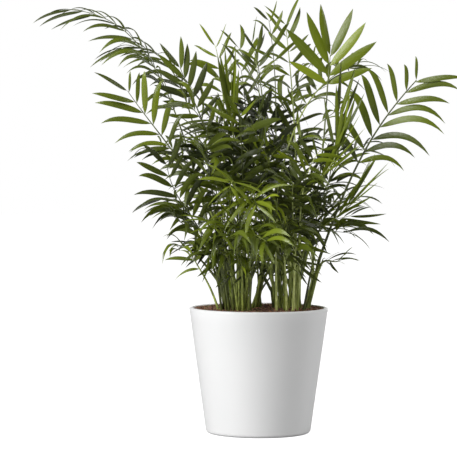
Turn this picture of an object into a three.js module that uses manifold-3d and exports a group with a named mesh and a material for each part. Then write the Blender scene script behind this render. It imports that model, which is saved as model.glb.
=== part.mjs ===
// A parlour palm in a round white glazed pot.
// Millimetres, +Z up. The pot's flat underside lies on z = 0 and its axis is x = y = 0.
// The front of the plant faces -Y.

import * as THREE from "three";
import Module from "manifold-3d";

const wasm = await Module();
wasm.setup();

// ---------------------------------------------------------------- driving dimensions

const SEED = 20411;
const GAP = 0.3; // clear distance between two pieces that touch
const GOLDEN_ANGLE = 137.508;

const POT = {
  height: 172,
  rimRadius: 95,
  baseRadius: 72,
  wall: 5.5,
  floor: 7,
  lipRound: 2.2,
  footRound: 5,
  segments: 40,
};

const SOIL = {
  edgeHeight: 164.5,
  crownHeight: 167.5,
  segments: 24,
};

// Two clumps of seedlings, each a sunflower spiral of canes.
const CLUMPS = [
  { x: -26, y: 1, turn: 150, canes: 7 },
  { x: 42, y: -1, turn: 20, canes: 6 },
];
const CANE = {
  spacing: 10.6,
  footRadius: 4.3,
  topRadius: 3.1,
  footFlare: 1.12,
  height: 62,
  heightSpread: 16,
  lean: 5,
  leanOutside: 9,
  sides: 8,
  stations: 3,
};

const RIB = {
  footRadius: 2.1,
  neckRadius: 1.5,
  tipRadius: 0.9,
  samples: 97,
  stalkStep: 42, // longest stretch of bare stalk between two rings
  firstRoll: 0.12, // share of the length where the blade's roll sets in
  clear: 1.6, // room between two stalks
  bow: 5, // sideways steps that make that room
  bowTries: 21,
  bowTurn: 1.2, // degrees that the foot walks round its cane for each millimetre of bow
};

const LEAF = {
  rootLength: 3.6, // stretch of rib that one pair grows from
  thickness: 1.0,
  thickShare: 0.0125, // a long leaflet is this share of its length thick
  widest: 0.42, // share of the length at the widest point
  shoulder: 0.1, // share of the length past which a leaflet stands clear of its sisters
  shoulderWidth: 0.5,
  longest: 0.35, // share of the leafy rib that bears the longest leaflets
  lowest: 0.74, // length of the lowest leaflets, as a share of the longest
  last: 0.8, // and of the last ones
  clear: 0.5,
  hover: 1.5, // least height over the soil
};

// How the leaflets of each kind of frond stand. spacing: along the rib; slender: width to length;
// base and tip: angles to the rib; lift: out of the blade; droop: fall of the tip as a share of
// the length; stiff: how long the stalk keeps its first direction, as a share of its reach.
const HABITS = {
  arching: { spacing: 15, slender: 0.125, base: 66, tip: 24, lift: 10, droop: 0.42, stiff: 0.5 },
  open: { spacing: 17, slender: 0.15, base: 68, tip: 24, lift: 8, droop: 0.26, stiff: 0.48 },
  broad: { spacing: 13, slender: 0.19, base: 54, tip: 18, lift: 6, droop: 0.06, stiff: 0.5 },
  fine: { spacing: 11, slender: 0.15, base: 62, tip: 24, lift: 12, droop: 0.3, stiff: 0.48 },
  spear: { spacing: 16, slender: 0.11, base: 16, tip: 9, lift: 3, droop: 0.02, stiff: 0.45 },
};

// The fronds that shape the outline, one a row:
// habit; cane that bears it; bearing of the rib's tip round the pot, 0 to the right and 270 to the
// front; its reach from the pot's axis; its rise over the ground; pitch at which the rib ends;
// share by which the blade turns from the sky to the front; leafy length of the rib; longest leaflet.
const FRONDS = [
  ["arching", 4, 185, 249, 575, 2, 0.22, 200, 78],
  ["arching", 6, 165, 197, 531, -8, 0.2, 140, 62],
  ["broad", 2, 212, 115, 475, 66, 0.8, 56, 62],
  ["open", 7, 207, 200, 465, 44, 0.85, 92, 72],
  ["fine", 1, 154, 68, 533, 70, 0.7, 84, 56],
  ["spear", 3, 217, 50, 460, 84, 0.8, 44, 86],
  ["fine", 8, 40, 47, 561, 76, 0.8, 104, 58],
  ["broad", 5, 255, 21, 526, 80, 0.7, 66, 66],
  ["broad", 10, 349, 101, 512, 80, 0.8, 40, 94],
  ["fine", 12, 20, 146, 506, 10, 0.3, 104, 60],
  ["open", 13, 344, 215, 463, 32, 0.8, 140, 98],
  ["spear", 9, 323, 132, 400, 84, 0.5, 62, 96],
  ["spear", 11, 334, 138, 324, 58, 0.5, 30, 74],
  ["open", 7, 227, 165, 349, 62, 0.85, 104, 78],
  ["fine", 4, 227, 178, 302, 26, 0.6, 104, 66],
  ["fine", 4, 223, 146, 255, -14, 0.3, 66, 42],
  ["fine", 5, 268, 150, 318, 4, 0.3, 110, 60],
  ["fine", 2, 272, 188, 272, -16, 0.25, 96, 58],
  ["fine", 3, 257, 176, 277, -8, 0.3, 96, 60],
  ["fine", 7, 243, 152, 249, -20, 0.3, 84, 54],
  ["fine", 9, 288, 147, 257, -18, 0.3, 84, 56],
  ["open", 12, 17, 135, 288, 10, 0.5, 92, 66],
  ["fine", 13, 340, 116, 230, 20, 0.4, 50, 38],
  ["fine", 10, 304, 146, 392, 30, 0.5, 116, 70],
  ["fine", 6, 240, 145, 394, 34, 0.6, 112, 70],
  ["arching", 1, 169, 154, 394, 14, 0.75, 124, 62],
  ["fine", 4, 164, 157, 327, 0, 0.5, 112, 62],
  ["arching", 11, 22, 163, 391, 6, 0.4, 110, 62],
  ["fine", 2, 136, 35, 500, 66, 0.6, 96, 62],
  ["fine", 11, 39, 79, 461, 60, 0.6, 104, 64],
  ["fine", 3, 264, 111, 421, 44, 0.6, 104, 66],
  ["fine", 8, 286, 156, 347, 18, 0.35, 108, 64],
];

// The fronds that fill the crown from its sides to its back.
const FILL = {
  count: 13,
  habits: ["fine", "open", "arching"],
  firstBearing: -5,
  bearingRange: 190,
  width: 150,
  depth: 190,
  topShare: 0.6, // reach of the highest fill fronds, as a share of the widest
  lowRise: 255,
  highRise: 540,
  lowPitch: -6,
  highPitch: 62,
  leafy: 130,
  leaf: 68,
  face: 0.35,
  caneStride: 5,
};

// The changes of stance that are tried in turn until a leaflet stands free.
const STANCES = [
  { turn: 0, lift: 0, size: 1 },
  { turn: 0, lift: 9, size: 1 },
  { turn: 0, lift: -9, size: 1 },
  { turn: 9, lift: 4, size: 0.95 },
  { turn: -9, lift: 4, size: 0.95 },
  { turn: 0, lift: 18, size: 0.9 },
  { turn: 0, lift: -18, size: 0.9 },
  { turn: 14, lift: -8, size: 0.8 },
  { turn: -14, lift: -8, size: 0.8 },
  { turn: 0, lift: 0, size: 0.7 },
  { turn: 0, lift: 12, size: 0.55 },
];

const materials = {
  glaze: new THREE.MeshStandardMaterial({ color: 0xe9e8e4, roughness: 0.35, metalness: 0 }),
  soil: new THREE.MeshStandardMaterial({ color: 0x5b3d2a, roughness: 0.95, metalness: 0 }),
  cane: new THREE.MeshStandardMaterial({ color: 0x55602c, roughness: 0.6, metalness: 0 }),
  leaf: new THREE.MeshStandardMaterial({ color: 0x5c6b30, roughness: 0.45, metalness: 0 }),
};

// ---------------------------------------------------------------- small helpers

const UP = new THREE.Vector3(0, 0, 1);
const FRONT = new THREE.Vector3(0, -1, 0);
const radians = THREE.MathUtils.degToRad;
const mix = THREE.MathUtils.lerp;

/** A repeatable number from -1 to 1 for a pair of counts. */
function chance(row, column) {
  let bits = Math.imul(row + 1, 0x9e3779b1) ^ Math.imul(column + 7, 0x85ebca6b) ^ SEED;
  bits = Math.imul(bits ^ (bits >>> 15), 0x2c1b3c6d);
  bits = Math.imul(bits ^ (bits >>> 12), 0x297a2d39);
  return ((bits ^ (bits >>> 15)) >>> 0) / 2147483648 - 1;
}

/** The level unit vector at a bearing in degrees. */
function heading(degrees) {
  return new THREE.Vector3(Math.cos(radians(degrees)), Math.sin(radians(degrees)), 0);
}

/** from + direction * distance, as a new point. */
function along(from, direction, distance) {
  return from.clone().addScaledVector(direction, distance);
}

/** A name with its number from 01 up. */
function numbered(word, index) {
  return `${word}_${String(index + 1).padStart(2, "0")}`;
}

/** A ring of points round a centre, from the first toward the second of two axes. */
function ringAt(centre, first, second, radius, sides, turn = 0) {
  return Array.from({ length: sides }, (_, i) => {
    const angle = turn + (2 * Math.PI * i) / sides;
    return along(along(centre, first, Math.cos(angle) * radius), second, Math.sin(angle) * radius);
  });
}

/** A solid from its points and the three corners of each face. */
function solidOf(points, faces) {
  return new wasm.Manifold(new wasm.Mesh({
    numProp: 3,
    vertProperties: Float32Array.from(points.flatMap((point) => point.toArray())),
    triVerts: Uint32Array.from(faces),
  }));
}

/** A solid over rings of points; a first or last ring of one point makes a pointed end. */
function skin(rings) {
  const starts = [];
  let count = 0;
  for (const ring of rings) {
    starts.push(count);
    count += ring.length;
  }
  const faces = [];
  for (let k = 0; k + 1 < rings.length; k += 1) {
    const low = rings[k].length;
    const high = rings[k + 1].length;
    for (let i = 0; i < Math.max(low, high); i += 1) {
      const a = starts[k] + (i % low);
      const b = starts[k] + ((i + 1) % low);
      const c = starts[k + 1] + ((i + 1) % high);
      const d = starts[k + 1] + (i % high);
      if (low > 1) faces.push(a, b, c);
      if (high > 1) faces.push(a, c, d);
    }
  }
  const last = starts.at(-1);
  for (let i = 1; i + 1 < rings[0].length; i += 1) faces.push(0, i + 1, i);
  for (let i = 1; i + 1 < rings.at(-1).length; i += 1) faces.push(last, last + i, last + i + 1);
  return solidOf(rings.flat(), faces);
}

/** A named mesh from a solid. */
function meshOf(solid, name, material) {
  const body = solid.getMesh();
  const geometry = new THREE.BufferGeometry();
  geometry.setAttribute("position", new THREE.BufferAttribute(new Float32Array(body.vertProperties), 3));
  geometry.setIndex([...body.triVerts]);
  geometry.computeVertexNormals();
  const mesh = new THREE.Mesh(geometry, material);
  mesh.name = name;
  return mesh;
}

// ---------------------------------------------------------------- pot and soil

/** The points of a quarter round between two angles in degrees. */
function roundOff(x, y, radius, from, to) {
  const steps = 2;
  return Array.from({ length: steps + 1 }, (_, i) => {
    const angle = radians(mix(from, to, i / steps));
    return new THREE.Vector2(x + radius * Math.cos(angle), y + radius * Math.sin(angle));
  });
}

/** The pot's inner radius at a height. */
function boreRadius(height) {
  return mix(POT.baseRadius, POT.rimRadius, height / POT.height) - POT.wall;
}

function potProfile() {
  const lip = POT.lipRound;
  const foot = POT.footRound;
  return [
    new THREE.Vector2(0, 0),
    ...roundOff(POT.baseRadius - foot, foot, foot, -90, 0),
    ...roundOff(POT.rimRadius - lip, POT.height - lip, lip, 0, 90),
    ...roundOff(POT.rimRadius - POT.wall + lip, POT.height - lip, lip, 90, 180),
    new THREE.Vector2(boreRadius(POT.floor), POT.floor),
    new THREE.Vector2(0, POT.floor),
  ];
}

function soilProfile() {
  const floor = POT.floor + GAP;
  const edge = SOIL.edgeHeight;
  const side = GAP * 2;
  const domeSteps = 3;
  const points = [new THREE.Vector2(0, floor), new THREE.Vector2(boreRadius(floor) - side, floor)];
  for (let k = 0; k <= domeSteps; k += 1) {
    const inward = k / domeSteps;
    const rise = Math.sin((inward * Math.PI) / 2);
    const radius = (boreRadius(edge) - side) * (1 - inward);
    points.push(new THREE.Vector2(radius, mix(edge, SOIL.crownHeight, rise)));
  }
  return points;
}

/** A solid of revolution about +Z from a profile that starts and ends on the axis. */
function turned(profile, segments) {
  const rings = profile.map((point, k) => {
    const centre = new THREE.Vector3(0, 0, point.y);
    if (k === 0 || k === profile.length - 1) return [centre];
    return ringAt(centre, heading(0), heading(90), point.x, segments);
  });
  return skin(rings);
}

// ---------------------------------------------------------------- canes

/** Every cane's foot, axis and height: the clumps' spirals, leaning out from the middle. */
function placeCanes() {
  const canes = [];
  for (const clump of CLUMPS) {
    for (let i = 0; i < clump.canes; i += 1) {
      const count = canes.length;
      const outward = heading(clump.turn + i * GOLDEN_ANGLE);
      const centre = new THREE.Vector3(clump.x, clump.y, SOIL.crownHeight + GAP);
      const foot = along(centre, outward, CANE.spacing * Math.sqrt(i + 0.3));
      const fromAxis = new THREE.Vector3(foot.x, foot.y, 0).multiplyScalar(1 / 50);
      const away = fromAxis.add(outward).normalize();
      const lean = CANE.lean + CANE.leanOutside * Math.sqrt(i / clump.canes) + 1.5 * chance(count, 2);
      canes.push({
        foot,
        axis: along(UP, away, Math.tan(radians(lean))).normalize(),
        height: CANE.height + CANE.heightSpread * chance(count, 1),
        radius: CANE.footRadius * (1 + 0.16 * chance(count, 3)),
      });
    }
  }
  return canes;
}

/** The cane's radius at a share of its height. */
function caneRadius(cane, share) {
  return cane.radius * mix(1, CANE.topRadius / CANE.footRadius, share);
}

function caneSolid(cane) {
  const side = FRONT.clone().cross(cane.axis).normalize();
  const front = cane.axis.clone().cross(side);
  const rings = [];
  for (let k = 0; k < CANE.stations; k += 1) {
    const share = k / (CANE.stations - 1);
    const centre = along(cane.foot, cane.axis, cane.height * share);
    const flare = k === 0 ? CANE.footFlare : 1;
    rings.push(ringAt(centre, side, front, caneRadius(cane, share) * flare, CANE.sides));
  }
  rings[0].forEach((point) => point.setZ(cane.foot.z));
  return skin(rings);
}

// ---------------------------------------------------------------- ribs

/** Where a rib leaves its cane: the first out of the cane's top, the others lower and lower. */
function seatOf(cane, order, toward) {
  if (order === 0) {
    return { foot: along(cane.foot, cane.axis, cane.height + GAP), rise: along(cane.axis, toward, 0.1) };
  }
  const share = 1.02 - 0.17 * order;
  const stand = caneRadius(cane, share) + RIB.footRadius / 2 + GAP;
  const onAxis = along(cane.foot, cane.axis, cane.height * share);
  return { foot: along(onAxis, toward, stand), rise: along(cane.axis, toward, 0.16) };
}

/** Points at even steps of length along a smooth curve from the cane to the rib's tip. */
function ribLine(plan, cane, order, bow) {
  const tip = heading(plan.bearing).multiplyScalar(plan.reach).setZ(plan.rise);
  const top = along(cane.foot, cane.axis, cane.height);
  const toward = new THREE.Vector3(tip.x - top.x, tip.y - top.y, 0).normalize();
  const sideways = UP.clone().cross(toward);
  const seatward = toward.clone().applyAxisAngle(UP, radians(bow * RIB.bowTurn));
  const seat = seatOf(cane, order, seatward);
  const chord = seat.foot.distanceTo(tip);
  const pitch = radians(plan.pitch);
  const ending = along(toward.multiplyScalar(Math.cos(pitch)), UP, Math.sin(pitch));
  const curve = new THREE.CubicBezierCurve3(
    seat.foot,
    along(along(seat.foot, seat.rise.normalize(), chord * HABITS[plan.habit].stiff), sideways, bow),
    along(along(tip, ending, -chord * 0.3), sideways, bow),
    tip,
  );
  curve.arcLengthDivisions = 400;
  return {
    points: curve.getSpacedPoints(RIB.samples - 1),
    length: curve.getLength(),
    across: UP.clone().cross(seatward),
  };
}

/** The least distance between two rows of points. */
function leastDistance(first, second) {
  let least = Infinity;
  for (const a of first) {
    for (const b of second) least = Math.min(least, a.distanceToSquared(b));
  }
  return Math.sqrt(least);
}

/** The rib's line bowed sideways as little as keeps it clear of the earlier ribs and canes. */
function placeRib(plan, cane, order, others) {
  let best = null;
  for (let trial = 0; trial < RIB.bowTries; trial += 1) {
    const side = trial % 2 === 0 ? 1 : -1;
    const line = ribLine(plan, cane, order, side * Math.ceil(trial / 2) * RIB.bow);
    let room = Infinity;
    for (const other of others) {
      if (other.cane === cane) continue;
      room = Math.min(room, leastDistance(line.points, other.points) - other.radius);
    }
    if (best === null || room > best.room) best = { ...line, room };
    if (room > RIB.footRadius + RIB.clear) break;
  }
  return best;
}

/** The rib's radius at a share of its length. */
function ribRadius(rib, share) {
  if (share < rib.neck) return mix(RIB.footRadius, RIB.neckRadius, share / rib.neck);
  return mix(RIB.neckRadius, RIB.tipRadius, (share - rib.neck) / (1 - rib.neck));
}

/** Point, tangent and unrolled blade axis at a share of the rib's length. */
function ribAxes(rib, share) {
  const place = share * (RIB.samples - 1);
  const low = Math.min(Math.floor(place), RIB.samples - 2);
  const point = rib.points[low].clone().lerp(rib.points[low + 1], place - low);
  const before = rib.points[Math.max(low - 1, 0)];
  const after = rib.points[Math.min(low + 2, RIB.samples - 1)];
  const tangent = after.clone().sub(before).normalize();
  const side = along(rib.across, tangent, -rib.across.dot(tangent)).normalize();
  return { point, tangent, side };
}

/** The roll that turns the middle of the blade toward the plan's facing. */
function facingRoll(rib) {
  const { tangent, side } = ribAxes(rib, (1 + rib.neck) / 2);
  const facing = UP.clone().lerp(FRONT, rib.plan.face);
  return Math.atan2(-facing.dot(side), facing.dot(tangent.clone().cross(side)));
}

/** Point, tangent, side and upper side of the blade, whose roll comes in along the bare stalk. */
function ribFrame(rib, share) {
  const frame = ribAxes(rib, share);
  const roll = rib.roll * THREE.MathUtils.smoothstep(share, RIB.firstRoll, rib.neck);
  frame.side.applyAxisAngle(frame.tangent, roll);
  return { ...frame, up: frame.tangent.clone().cross(frame.side) };
}

/** The rib's section at a share of its length: keel, right edge and left edge, flat on top. */
function ribRing(rib, share) {
  const { point, side, up } = ribFrame(rib, share);
  return ringAt(point, side, up, ribRadius(rib, share), 3, -Math.PI / 2);
}

/** The shares of the rib's length at which its rings stand, with the pairs that grow from them. */
function ribStations(rib) {
  const steps = Math.max(3, Math.ceil((rib.neck * rib.length) / RIB.stalkStep));
  const stations = Array.from({ length: steps }, (_, k) => ({ share: (rib.neck * k) / steps }));
  const root = LEAF.rootLength / rib.length;
  for (let pair = 0; pair < rib.pairs; pair += 1) {
    const start = mix(rib.neck, 1 - root, pair / (rib.pairs - 1));
    stations.push({ share: start, pair }, { share: start + root });
  }
  return stations;
}

function ribSolid(rib) {
  return skin(ribStations(rib).map((station) => ribRing(rib, station.share)));
}

// ---------------------------------------------------------------- leaflets

/** The length of the leaflets along the leafy rib, as a share of the longest. */
function leafletShare(t) {
  if (t < LEAF.longest) return mix(LEAF.lowest, 1, t / LEAF.longest);
  return mix(1, LEAF.last, (t - LEAF.longest) / (1 - LEAF.longest));
}

/** One leaflet on its rib: the sections at its root, shoulder and middle, and its tip. */
function leafletPlan(rib, pair, side, stance) {
  const habit = HABITS[rib.plan.habit];
  const t = pair / (rib.pairs - 1);
  const { point, tangent, side: outward, up } = ribFrame(rib, mix(rib.neck, 1, t));
  const angle = radians(mix(habit.base, habit.tip, t) + stance.turn);
  const lift = radians(habit.lift + stance.lift);
  const flat = along(tangent.clone().multiplyScalar(Math.cos(angle)), outward, side * Math.sin(angle));
  const aim = along(flat.multiplyScalar(Math.cos(lift)), up, Math.sin(lift));
  const length = rib.plan.leaf * leafletShare(t) * stance.size;
  const fall = habit.droop * length * Math.sqrt(1 - aim.z * aim.z);
  const front = along(tangent, aim, -tangent.dot(aim)).normalize();
  const under = aim.clone().cross(front).multiplyScalar(side);
  const at = (share) => along(along(point, aim, length * share), UP, -fall * share * share);
  const section = (share, width, depth) => ({
    back: along(at(share), front, -width / 2),
    front: along(at(share), front, width / 2),
    keel: along(at(share), under, depth),
  });
  const width = length * habit.slender;
  const thickness = Math.max(LEAF.thickness, length * LEAF.thickShare);
  return {
    root: section(0, LEAF.rootLength, thickness),
    shoulder: section(LEAF.shoulder, width * LEAF.shoulderWidth, thickness),
    middle: section(LEAF.widest, width, thickness),
    tip: at(1),
  };
}

/** A leaflet's blade from one of its sections to the tip, as a convex solid for the tests of its room. */
function bladeSolid(leaf, first) {
  const corners = [...Object.values(first), ...Object.values(leaf.middle), leaf.tip];
  return wasm.Manifold.hull(corners.map((point) => point.toArray()));
}

/** Whether two boxes lie within reach of each other. */
function boxesNear(a, b, reach) {
  return [0, 1, 2].every((k) => a.min[k] - reach < b.max[k] && b.min[k] - reach < a.max[k]);
}

/** Whether a solid stands over the soil and clear of every one of some pieces. */
function standsFree(solid, pieces) {
  const box = solid.boundingBox();
  if (box.min[2] < SOIL.crownHeight + LEAF.hover) return false;
  return pieces.every((piece) => (
    !boxesNear(box, piece.box, LEAF.clear) || piece.solid.minGap(solid, LEAF.clear * 2) >= LEAF.clear
  ));
}

/** A solid with its box, for the tests of room. */
function pieceOf(solid) {
  return { solid, box: solid.boundingBox() };
}

/** The leaflets of one rib, each in the first stance that stands free; one with none is left out. */
function growLeaflets(rib, strangers) {
  const leaves = new Map();
  const [stem] = rib.pieces;
  const below = [];
  for (let pair = 0; pair < rib.pairs; pair += 1) {
    const twins = [];
    for (const side of [-1, 1]) {
      for (const stance of STANCES) {
        const leaf = leafletPlan(rib, pair, side, stance);
        const whole = bladeSolid(leaf, leaf.root);
        const outer = bladeSolid(leaf, leaf.shoulder);
        const far = bladeSolid(leaf, leaf.middle);
        const free = standsFree(whole, [...strangers, ...below]) && standsFree(outer, twins);
        if (!free || !standsFree(far, [stem])) continue;
        leaves.set(`${pair} ${side}`, leaf);
        twins.push(pieceOf(outer));
        rib.pieces.push(pieceOf(whole));
        break;
      }
    }
    below.push(...rib.pieces.slice(rib.pieces.length - twins.length));
  }
  return leaves;
}

/** A frond in one skin: the rib's rings, with each leaflet drawn out of a side face of the rib. */
function frondSolid(rib, leaves) {
  const points = [];
  const faces = [];
  const put = (...added) => added.map((point) => points.push(point) - 1);
  // Of a quad's two diagonals, the one that makes a ridge.
  const quad = (a, b, c, d) => {
    const [toB, toC, toD] = [b, c, d].map((i) => points[i].clone().sub(points[a]));
    if (toB.cross(toC).dot(toD) > 0) faces.push(a, b, d, b, c, d);
    else faces.push(a, b, c, a, c, d);
  };
  const stations = ribStations(rib);
  const rings = stations.map((station) => put(...ribRing(rib, station.share)));
  for (let k = 0; k + 1 < rings.length; k += 1) {
    const low = rings[k];
    const high = rings[k + 1];
    quad(low[1], low[2], high[2], high[1]);
    for (const [side, i, j] of [[1, 0, 1], [-1, 2, 0]]) {
      const [a, b, c, d] = [low[i], low[j], high[j], high[i]];
      const leaf = leaves.get(`${stations[k].pair} ${side}`);
      if (!leaf) {
        quad(a, b, c, d);
        continue;
      }
      const { middle } = leaf;
      const [back, front, keel, tip] = put(middle.back, middle.front, middle.keel, leaf.tip);
      if (side > 0) {
        quad(a, b, back, keel);
        quad(b, c, front, back);
        quad(c, d, keel, front);
        faces.push(d, a, keel, keel, back, tip, back, front, tip, front, keel, tip);
      } else {
        quad(a, b, keel, back);
        quad(c, d, front, keel);
        quad(d, a, back, front);
        faces.push(b, c, keel, back, keel, tip, keel, front, tip, front, back, tip);
      }
    }
  }
  const first = rings[0];
  const last = rings.at(-1);
  faces.push(first[0], first[2], first[1], last[0], last[1], last[2]);
  return solidOf(points, faces);
}

// ---------------------------------------------------------------- the plant

/** The plans of the fronds that shape the outline, with their columns named. */
function outlinePlans() {
  return FRONDS.map(([habit, cane, bearing, reach, rise, pitch, face, leafy, leaf]) => (
    { habit, cane: cane - 1, bearing, reach, rise, pitch, face, leafy, leaf }
  ));
}

/** The seeded plans of the fronds that fill the crown. */
function fillPlans(caneCount) {
  return Array.from({ length: FILL.count }, (_, i) => {
    const row = 100 + i;
    const level = (i + 0.5) / FILL.count;
    const bearing = FILL.firstBearing + FILL.bearingRange * (((i * GOLDEN_ANGLE) / 360) % 1);
    const ahead = heading(bearing);
    const spread = mix(0.8, 1.02, Math.sin(Math.PI * level)) * (1 + 0.1 * chance(row, 1));
    const widest = Math.hypot(ahead.x * FILL.width, ahead.y * FILL.depth);
    return {
      habit: FILL.habits[i % FILL.habits.length],
      cane: (i * FILL.caneStride + 2) % caneCount,
      bearing,
      reach: widest * spread * mix(1, FILL.topShare, level * level),
      rise: mix(FILL.lowRise, FILL.highRise, level) + 12 * chance(row, 2),
      pitch: mix(FILL.lowPitch, FILL.highPitch, level) + 8 * chance(row, 3),
      face: FILL.face * chance(row, 4),
      leafy: FILL.leafy * (1 + 0.14 * chance(row, 5)),
      leaf: FILL.leaf * (1 + 0.1 * chance(row, 6)),
    };
  });
}

/** The ribs of all plans, kept clear of the canes and of each other. */
function placeRibs(plans, canes) {
  const others = canes.map((cane) => ({
    cane,
    points: Array.from({ length: 25 }, (_, k) => along(cane.foot, cane.axis, (cane.height * k) / 24)),
    radius: cane.radius,
  }));
  const seatsTaken = canes.map(() => 0);
  return plans.map((plan) => {
    const order = seatsTaken[plan.cane];
    const rib = { plan, ...placeRib(plan, canes[plan.cane], order, others) };
    seatsTaken[plan.cane] += 1;
    rib.neck = Math.max(0.2, 1 - plan.leafy / rib.length);
    rib.roll = facingRoll(rib);
    rib.pairs = Math.max(2, Math.round(plan.leafy / HABITS[plan.habit].spacing) + 1);
    rib.pieces = [pieceOf(ribSolid(rib))];
    others.push({ cane: null, points: rib.points, radius: RIB.footRadius });
    return rib;
  });
}

const group = new THREE.Group();
const potSolid = turned(potProfile(), POT.segments);
const soilSolid = turned(soilProfile(), SOIL.segments);
const canes = placeCanes();
const caneSolids = canes.map(caneSolid);
group.add(meshOf(potSolid, "pot", materials.glaze));
group.add(meshOf(soilSolid, "soil", materials.soil));
caneSolids.forEach((solid, i) => group.add(meshOf(solid, numbered("cane", i), materials.cane)));

const standing = [potSolid, soilSolid, ...caneSolids].map(pieceOf);
const ribs = placeRibs([...outlinePlans(), ...fillPlans(canes.length)], canes);
ribs.forEach((rib, i) => {
  const neighbours = ribs.filter((other) => other !== rib).flatMap((other) => other.pieces);
  const leaves = growLeaflets(rib, [...standing, ...neighbours]);
  group.add(meshOf(frondSolid(rib, leaves), numbered("frond", i), materials.leaf));
});

export default group;
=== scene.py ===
"""Dresses a parlour palm in a round white glazed pot.

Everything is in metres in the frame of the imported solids: +Z up, the pot's axis at x = y = 0,
its flat underside at z = 0 and the front of the plant towards -Y. The plant grows by the same
rule as its solids, worked in millimetres, and carried on to finer leaflets, ribs and sheaths.
"""

import logging
import math
from collections.abc import Iterable, Sequence
from dataclasses import dataclass, field
from enum import Enum
from functools import reduce

import bpy
import numpy as np
from mathutils import Matrix, Vector


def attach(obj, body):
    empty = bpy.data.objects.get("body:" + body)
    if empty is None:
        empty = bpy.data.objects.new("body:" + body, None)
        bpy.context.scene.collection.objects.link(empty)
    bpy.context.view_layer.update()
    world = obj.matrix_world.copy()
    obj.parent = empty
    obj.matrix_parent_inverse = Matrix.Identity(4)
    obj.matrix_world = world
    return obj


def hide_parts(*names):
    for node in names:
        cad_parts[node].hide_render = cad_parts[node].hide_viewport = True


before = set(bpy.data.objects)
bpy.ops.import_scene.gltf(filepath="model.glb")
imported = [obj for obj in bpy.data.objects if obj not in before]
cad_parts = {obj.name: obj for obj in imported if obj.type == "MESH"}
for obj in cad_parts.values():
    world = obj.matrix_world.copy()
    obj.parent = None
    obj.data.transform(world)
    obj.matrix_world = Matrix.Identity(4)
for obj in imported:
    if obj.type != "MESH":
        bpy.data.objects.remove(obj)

log = logging.getLogger("palm")
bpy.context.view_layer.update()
BODY = "root"
MM = 0.001  # the growth rule's millimetres in metres
SEED = 20411
GAP = 0.3  # millimetres that the solids keep between what touches in the real plant
GOLDEN_ANGLE = 137.508
GOLDEN_SHARE = 0.618034
UP = np.array([0.0, 0.0, 1.0])
FRONT = np.array([0.0, -1.0, 0.0])
WHITE = (1.0, 1.0, 1.0, 1.0)
Colour = tuple[float, float, float]
Object = bpy.types.Object
Node = bpy.types.Node
Socket = bpy.types.NodeSocket
Sockets = bpy.types.bpy_prop_collection
Tree = bpy.types.NodeTree

# The first row of chances of the fronds that fill the crown, the young shoots, the stalks and the leaflets.
FILL_ROW = 100
YOUNG_ROW = 300
STALK_ROW = 500
LEAFLET_ROW = 1000
LEAFLETS_EACH = 64  # rows of chances kept for the leaflets of one frond


# ---------- small helpers


def chance(row: int, column: int) -> float:
    """Gives a repeatable number from -1 to 1 for a pair of counts.

    Args:
        row: Which thing the number is for.
        column: Which of that thing's numbers it is.

    Returns:
        The number, the same in every run.
    """
    word = 0xFFFFFFFF
    bits = ((row + 1) * 0x9E3779B1 & word) ^ ((column + 7) * 0x85EBCA6B & word) ^ SEED
    bits = (bits ^ (bits >> 15)) * 0x2C1B3C6D & word
    bits = (bits ^ (bits >> 12)) * 0x297A2D39 & word
    return ((bits ^ (bits >> 15)) & word) / 2147483648 - 1


def mix(low: float, high: float, share: float) -> float:
    """Returns the value at a share of the way from low to high."""
    return low + (high - low) * share


def smoothstep(value: float, low: float, high: float) -> float:
    """Returns 0 below low and 1 above high, with a smooth rise between."""
    share = min(max((value - low) / (high - low), 0.0), 1.0)
    return share * share * (3 - 2 * share)


def unit(vector: np.ndarray) -> np.ndarray:
    """Returns the vector at length 1."""
    return vector / np.linalg.norm(vector)


def heading(degrees: float) -> np.ndarray:
    """Returns the level unit vector at a bearing."""
    angle = math.radians(degrees)
    return np.array([math.cos(angle), math.sin(angle), 0.0])


def turned_about(vector: np.ndarray, axis: np.ndarray, angle: float) -> np.ndarray:
    """Turns a vector about a unit axis.

    Args:
        vector: What is turned.
        axis: The unit axis.
        angle: In radians, counter-clockwise seen against the axis.

    Returns:
        The turned vector.
    """
    cos, sin = math.cos(angle), math.sin(angle)
    return vector * cos + np.cross(axis, vector) * sin + axis * np.dot(axis, vector) * (1 - cos)


def even_chance(row: int, column: int) -> float:
    """Returns a repeatable number from 0 to 1 for a pair of counts."""
    return 0.5 + 0.5 * chance(row, column)


def varied(value: float, spread: float, row: int, column: int) -> float:
    """Returns a value made larger or smaller by up to a share of itself."""
    return value * (1 + spread * chance(row, column))


def around(segments: int) -> list[tuple[float, float]]:
    """Returns the cosine and the sine of even turns once round."""
    turns = [2 * math.pi * k / segments for k in range(segments)]
    return [(math.cos(turn), math.sin(turn)) for turn in turns]


def numbered(word: str, index: int) -> str:
    """Returns a name with its number from 01 up."""
    return f"{word}_{index + 1:02d}"


def mesh_object(name: str, points: Sequence, edges: Sequence = (), faces: Sequence = ()) -> Object:
    """Puts a mesh into the scene.

    Args:
        name: The object's name.
        points: Its points, in metres.
        edges: Pairs of points, for a mesh without faces.
        faces: Rows of points.

    Returns:
        The new object, at the origin.
    """
    mesh = bpy.data.meshes.new(name)
    mesh.from_pydata([tuple(map(float, p)) for p in points], list(edges), list(faces))
    mesh.update()
    obj = bpy.data.objects.new(name, mesh)
    bpy.context.scene.collection.objects.link(obj)
    return obj


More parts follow.
